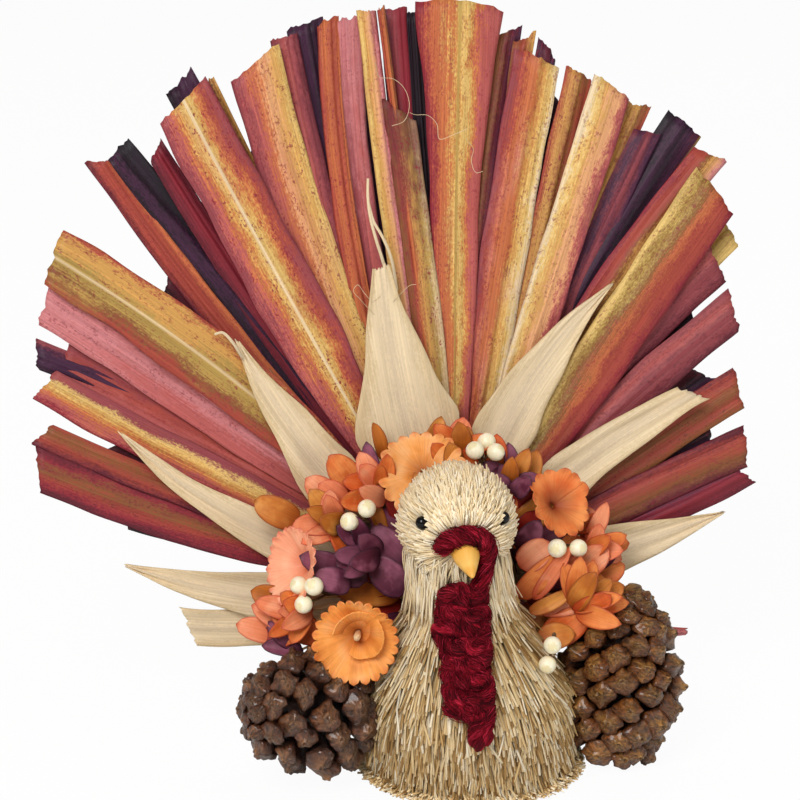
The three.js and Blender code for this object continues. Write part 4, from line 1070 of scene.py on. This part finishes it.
collar = {"radius": 46, "section": 8, "lift": tail["gap"] + (topLayer + 1) * layerAt(54) + 8, "stemRoot": 6}


def fanWay(angle):
    # up the tail at 0, toward the viewer's right as the angle grows
    return Vector((math.sin(angle), 0, math.cos(angle)))


def collarPoint(bearing):
    a = math.radians(bearing)
    return Vector((collar["radius"] * math.sin(a), -collar["lift"], collar["radius"] * math.cos(a)))


def collarDirection(bearing, out, swing=0.0):
    a, o, s = math.radians(bearing), math.radians(out), math.radians(swing)
    around = Vector((math.cos(a), 0, -math.sin(a)))
    forward = Vector((0, -math.cos(o) * math.cos(s), 0))
    return (forward + fanWay(a) * math.sin(o) + around * math.sin(s)).normalized()


def stemEnds(spec, length):
    direction = collarDirection(spec["bearing"], spec["out"], spec.get("swing", 0))
    centre = collarPoint(spec["bearing"])
    foot = centre + direction * (collar["section"] - collar["stemRoot"])
    return foot, centre + direction * (collar["section"] + length), direction


trumpetRow = rowOf("name bearing out face stem radius depth teeth tooth dye")
trumpets = [
    trumpetRow("low_left_trumpet", -102, 12, 14, 22, 19, 13, 25, 0.45, "amber", stamen=True),
    trumpetRow("left_trumpet", -76, 62, 60, 17, 17.6, 15, 22, 0.6, "coral", flat=0.4),
    trumpetRow("top_trumpet", -17, 55, 24, 3, 20, 10, 20, 0.5, "amber"),
    trumpetRow("right_trumpet", 46.5, 26, 32, 7, 16, 11, 15, 0.5, "flame"),
]


def addTrumpet(batch, spec, rng, inner=False):
    # a sheet rolled into a bowl with a pinked, wavy rim, or the smaller sheet curled up inside it
    top = stemEnds(spec, spec["stem"])[1]
    turn = zAxis.rotation_difference(collarDirection(spec["bearing"], spec["face"]))
    sides, rings = spec["teeth"] * 8, 14
    phase = rng.uniform(0, 6.28)

    def spot(i, j):
        t = lerp(0.07, 1, i / rings)
        a = fullTurn * j / sides * (0.8 if inner else 1.05)
        around = a - 2.3 if inner else a + phase
        scallop = (1 - abs(2 * (j * spec["teeth"] / sides % 1) - 1)) ** spec["tooth"]
        ruffle = 1.9 * math.sin(2 * a + phase) * t**2 + 1.3 * math.sin(3 * a - phase) * t**2
        ruffle += 0.9 * math.sin(7 * a + phase) * t**4
        ruffle *= spec.get("flat", 1)
        if inner:
            r = spec["radius"] * (0.12 + 0.36 * t + 0.16 * j / sides + 0.1 * math.cos(around) * t)
            z = spec["depth"] * (0.25 + 0.85 * t**0.8) + 0.8 * ruffle
        else:
            # the roll is fuller at the lower left
            r = spec["radius"] * t * (1 + 0.1 * math.cos(around - 4.1) * t)
            z = spec["depth"] * t**0.62 + ruffle + 0.8 * j / sides
        r *= 1 - (1 - scallop) * (0.03 if inner else 0.13) * t**6
        point = turn @ Vector((r * math.cos(around), r * math.sin(around), z)) + top
        rim = 0.75 * t if inner else t - 0.3 * (1 - scallop) * t
        uv = (a * spec["radius"] * 0.6 / uvUnit, r / uvUnit)
        return tailMatrix @ point, uv, rim, 0.7 * t if inner else t

    addSheet(batch, spot, rings + 1, sides + 1, rng.uniform(0.0, 0.3))


def addPetal(batch, matrix, length, width, tone, rng):
    # oval shaving, cupped across and bowed along its length
    bow, cup = rng.uniform(0.6, 2.0), rng.uniform(0.6, 1.8)
    taper = rng.uniform(0.5, 0.72)
    steps, sides = 12, 8

    def spot(i, j):
        t, c = i / steps, -1 + 2 * j / sides
        half = width / 2 * max(1 - abs(2 * t**0.85 - 1) ** 2.3, 0.004) ** taper
        x = bow * math.sin(math.pi * t) + cup * c * c * (half / width * 2)
        rim = max(abs(c), t**2) * (0.99 if 0 < i < steps else 1.0)
        return matrix @ Vector((x, c * half, t * length)), (c * half / uvUnit, t * length / uvUnit), rim, t

    addSheet(batch, spot, steps + 1, sides + 1, tone)


def placePetal(batch, root, tip, width, rng):
    # a petal from root to tip, its broad side to the front
    way = (tip - root).normalized()
    face = Vector((rng.uniform(-0.4, 0.4), -1, rng.uniform(-0.1, 0.5)))
    face = (face - way * face.dot(way)).normalized()
    turn = Matrix((face, way.cross(face), way)).transposed().to_4x4()
    matrix = tailMatrix @ Matrix.Translation(root) @ turn
    addPetal(batch, matrix, (tip - root).length * 1.06, width, rng.uniform(0.0, 0.6), rng)


def rodPath(a, b, count=4):
    return [tailMatrix @ a.lerp(b, i / (count - 1)) for i in range(count)]


for i, spec in enumerate(trumpets):
    rng = random.Random(200 + i)
    foot, top = stemEnds(spec, spec["stem"])[:2]
    bloom, stick = newBatch(), newBatch()
    addTrumpet(bloom, spec, rng)
    addTube(stick, rodPath(foot, top), [1.2] * 4, 10, 0.4)
    if spec.get("stamen"):
        addTrumpet(bloom, spec, rng, inner=True)
        end = top + collarDirection(spec["bearing"], spec["face"]) * (spec["depth"] * 0.95)
        addTube(stick, rodPath(top, end, 5), [1.5, 1.5, 1.6, 1.6, 1.3], 12, 0.6)
    makeShaving(spec["name"] + "_bloom", bloom, spec["dye"], [spec["name"]])
    makePiece(spec["name"] + "_stick", stick, twigMaterial)

# sprays of petals: every third blade has the second dye
sprayRow = rowOf("name bearing fan out stem count petal dye also")
sprays = [
    sprayRow("top_left_petals", -38, -32, 64, 12, 8, 19, "orange", "salmon"),
    sprayRow("left_petals", -58, -52, 66, 21, 8, 19, "salmon", "brown"),
    sprayRow("low_left_petals", -92, -88, 60, 28, 8, 19, "orange", "salmon"),
    sprayRow("top_petals", -1, 4, 76, 10, 8, 17, "orange", "brown"),
    sprayRow("right_petals", 73, 62, 62, 12, 8, 19, "salmon", "orange"),
    sprayRow("low_right_petals", 92, 48, 7, 22, 10, 21, "orange", "brown"),
    sprayRow("left_purple_petals", -64, -72, 22, 14, 8, 18, "purple", "purple"),
    sprayRow("right_purple_petals", 22.5, 8, 40, 8, 7, 15, "purple", "brown"),
]
petalBatches = {dye: newBatch() for dye in shavingLooks}
for i, spec in enumerate(sprays):
    rng = random.Random(300 + i)
    foot, top, direction = stemEnds(spec, spec["stem"])
    blades, stick = newBatch(), newBatch()
    middle = fanWay(math.radians(spec["fan"]))
    for k in range(spec["count"]):
        # the blades fan out from the end of the stick, the front ones more upright
        front = k / (spec["count"] - 1)
        fan = math.radians(spec["fan"] + lerp(-62, 62, k * 0.618 % 1) + rng.uniform(-8, 8))
        tilt = math.radians(lerp(2, 40, front) + rng.uniform(-6, 6))
        way = Vector((math.sin(fan) * math.cos(tilt), -math.sin(tilt), math.cos(fan) * math.cos(tilt)))
        root = top - middle * lerp(4, 8, front) + Vector((rng.uniform(-2, 2), 2 - 4 * front, rng.uniform(-2, 2)))
        mixed = petalBatches[spec["also"]] if k % 3 == 1 else blades
        placePetal(mixed, root, root + way * spec["petal"] * rng.uniform(0.85, 1.1), rng.uniform(8, 11.5), rng)
    addTube(stick, rodPath(foot, top - direction * 2), [1.2, 1.2, 1.1, 0.9], 8, 0.4)
    makeShaving(spec["name"] + "_blades", blades, spec["dye"], [spec["name"]])
    makePiece(spec["name"] + "_stick", stick, twigMaterial)

# single petals pushed in among the sprays: root and tip as (across, up, front), width, dye
# the deep red petals here are part dyed bits, part painted shade low among the others
loosePetals = [
    ((22, 12, 42), (35, 22, 44), 13, "salmon"), ((21, -2, 40), (38, 16, 46), 12, "orange"),
    ((28, -3, 42), (43, 19, 48), 7, "salmon"), ((45, 5, 34), (62, 17, 40), 14, "salmon"),
    ((57, 8, 30), (68, 19, 34), 10, "purple"), ((42, -1, 36), (60, 4, 40), 13, "brown"),
    ((25, -8, 44), (44, 1, 48), 7, "brown"), ((29, -8, 42), (60, -2, 46), 10, "salmon"),
    ((33, -22, 40), (51, -9, 46), 15, "orange"), ((28, -20, 46), (44, -18, 48), 12, "brown"),
    ((49, -11, 36), (64, -13, 40), 10, "brown"), ((56, 2, 28), (71, 8, 32), 12, "orange"),
    ((52, -4, 30), (68, -2, 34), 11, "brown"), ((50, 25, 28), (63, 30, 30), 8, "orange"),
    ((27, 41, 24), (35, 60, 26), 10, "brown"), ((24, 32, 22), (17, 55, 24), 11, "purple"),
    ((23, 50, 21), (23, 64, 22), 7, "purple"), ((21, 30, 26), (20, 45, 28), 9, "orange"),
    ((24, 18, 34), (32, 31, 40), 11, "purple"), ((24, 20, 26), (32, 34, 30), 13, "red"),
    ((-33, 60, 20), (-37, 76, 22), 7, "brown"), ((-37, 47, 24), (-41, 68, 26), 8, "purple"),
    ((-14, 59, 20), (-7, 77, 22), 9, "brown"), ((-1, 57, 20), (3, 76, 22), 12, "salmon"),
    ((17, 53, 20), (18, 68, 22), 10, "orange"), ((-44, 45, 24), (-57, 63, 26), 14, "orange"),
    ((-53, 38, 28), (-68, 54, 28), 14, "salmon"), ((-52, 42, 31), (-63, 52, 31), 12, "salmon"),
    ((-72, 35, 24), (-90, 45, 22), 13, "brown"), ((-43, 9, 36), (-59, 33, 36), 14, "orange"),
    ((-35, 27, 30), (-45, 52, 30), 7, "brown"), ((-45, 10, 40), (-73, 22, 40), 13, "purple"),
    ((-53, 9, 44), (-69, 14, 46), 12, "purple"), ((-28, 15, 38), (-41, 32, 36), 14, "purple"),
    ((-28, 3, 40), (-43, 19, 38), 15, "purple"), ((-79, 1, 28), (-94, 6, 26), 11, "brown"),
    ((-72, -9, 34), (-94, 0, 30), 13, "salmon"), ((-67, -16, 38), (-88, 2, 34), 14, "orange"),
    ((-82, -14, 30), (-101, -8, 28), 11, "salmon"), ((-76, -18, 36), (-88, -7, 34), 9, "purple"),
    ((-74, -20, 36), (-91, -17, 34), 8, "purple"), ((-76, -15, 32), (-92, -13, 30), 10, "red"),
]
# an under-layer of petals lies over the collar itself; its dark purple and red ones are painted shade down among the
# flowers
underPetals = {"from": -112, "step": 13, "count": 18, "inner": (27, 6), "outer": (57, 11), "width": 14,
               "dyes": ("purple", "red", "brown", "purple", "orange")}
for k in range(underPetals["count"]):
    a = math.radians(underPetals["from"] + k * underPetals["step"])
    root, tip = [(r * math.sin(a), r * math.cos(a), collar["lift"] + lift)
                 for r, lift in (underPetals["inner"], underPetals["outer"])]
    loosePetals.append((root, tip, underPetals["width"], underPetals["dyes"][k % 5]))
sticks = newBatch()
rng = random.Random(500)
for root, tip, width, dye in loosePetals:
    root, tip = [Vector((across, -front, up)) for across, up, front in (root, tip)]
    placePetal(petalBatches[dye], root, tip, width, rng)
    held = collarPoint(math.degrees(math.atan2(root.x, root.z)))
    addTube(sticks, rodPath(held, root.lerp(tip, 0.1)), [0.8, 0.8, 0.7, 0.5], 8, 0.4)
for dye, batch in petalBatches.items():
    if batch["points"]:
        makeShaving("loose_" + dye + "_petals", batch, dye)
makePiece("petal_sticks", sticks, twigMaterial)

# Berries: lacquered foam balls on brown florist's wire

# pale cream lacquer, soft highlight, a warmer tint round the wire
lacquer = Finish("lacquered foam berry")
mottle = lacquer.noise(lacquer.grain(), 60.0, 3.0)
cream = lacquer.ramp(lacquer.math("MULTIPLY_ADD", mottle, 0.35, lacquer.read("along")),
                     (0.1, "#e2cf9a"), (0.4, "#f0e4bd"), (1.0, "#f5ecd0"), (1.2, "#e9dbae"))
berryMaterial = lacquer.done(cream, lacquer.span(mottle, 0.28, 0.42),
                             more={"Subsurface Weight": 0.2, "Subsurface Radius": (0.002, 0.0014, 0.0008)})
# wire wound in brown paper
wire = Finish("paper covered wire")
wireMaterial = wire.done(wire.ramp(wire.noise(wire.grain(), 160.0, 3.0), (0.3, "#3a2414"), (0.7, "#7a5a34")), 0.75)

berries = {"radius": 4.05, "spacing": 9.5, "dimple": 0.07, "fork": 0.45, "stem": 0.9, "wire": 0.6}
sprigRow = rowOf("name bearing out swing wire")
sprigs = [
    sprigRow("top_berries", 8, 46, 2, 17, more=[(-2, 8, -3)]),
    sprigRow("upper_left_berries", -51, 34, 0, 22),
    sprigRow("low_left_berries", -88, 40, 6, 34, more=[(0, 7.5, -2)]),
    sprigRow("right_berries", 66, 2, -2, 22),
    sprigRow("low_right_berries", 104, -13.5, 16.3, 46),
]
for i, spec in enumerate(sprigs):
    rng = random.Random(400 + i)
    foot, top, direction = stemEnds(spec, spec["wire"])
    sideways = direction.cross(Vector((0, 1, 0.3))).normalized()
    upward = sideways.cross(direction)
    fork = top - direction * (berries["fork"] * spec["wire"])
    centres = [top + sideways * (side * berries["spacing"]) for side in (-0.5, 0.5)]
    centres += [top + sideways * x + upward * y + direction * z for x, y, z in spec.get("more", ())]
    balls, wires = newBatch(), newBatch()
    addTube(wires, rodPath(foot, fork), [berries["stem"]] * 4, 8, 0.4)
    for centre in centres:
        way = (tailMatrix @ centre - tailMatrix @ fork).normalized()
        addBead(balls, tailMatrix @ centre, -way, berries["radius"] * rng.uniform(0.95, 1.04), rng.random(),
                berries["dimple"])
        bend = fork.lerp(centre, 0.5) + upward * rng.uniform(-1.5, 1.5)
        path = smoothPath([tailMatrix @ p for p in (fork, bend, centre)], 10)
        addTube(wires, path, [berries["wire"]] * len(path), 8, 0.5)
    makePiece(spec["name"] + "_balls", balls, berryMaterial, [spec["name"]])
    makePiece(spec["name"] + "_wires", wires, wireMaterial)
print("flowers:", len(trumpets), "trumpets,", len(sprays), "sprays,", len(sprigs), "sprigs")

# Boards, dowel and foam keep their solids and get their finishes

# plain plywood: straight grain 2 mm wide, fine saw fuzz
board = Finish("sawn plywood")
grain = board.noise(board.node("TexCoord", output="Object"), (500, 60, 40), 5.0)
boardMaterial = board.done(board.ramp(grain, (0.3, "#a8804e"), (0.7, "#d2ae7c")), 0.7, (grain, 0.3, 0.0003))
# dry foam: matt, open cells about 1 mm across; near black, so that where it shows between petals and bristles it is
# painted shade
foam = Finish("brown florist foam darkened as painted shade")
cells = foam.node("TexVoronoi", {"Vector": foam.node("TexCoord", output="Object"), "Scale": 900.0}, "Distance")
foamMaterial = foam.done(foam.ramp(cells, (0.1, "#170e08"), (0.7, "#38261a")), 0.95, (cells, 0.6, 0.0006))

for finish, nodes in ((boardMaterial, ("foot_board", "tail_board", "neck_dowel")),
                      (foamMaterial, ("body_core", "head_core", "flower_collar"))):
    for nodeName in nodes:
        solid = frame["nodes"][nodeName]
        solid.data.materials.clear()
        solid.data.materials.append(finish)
print("boards and foam finished")
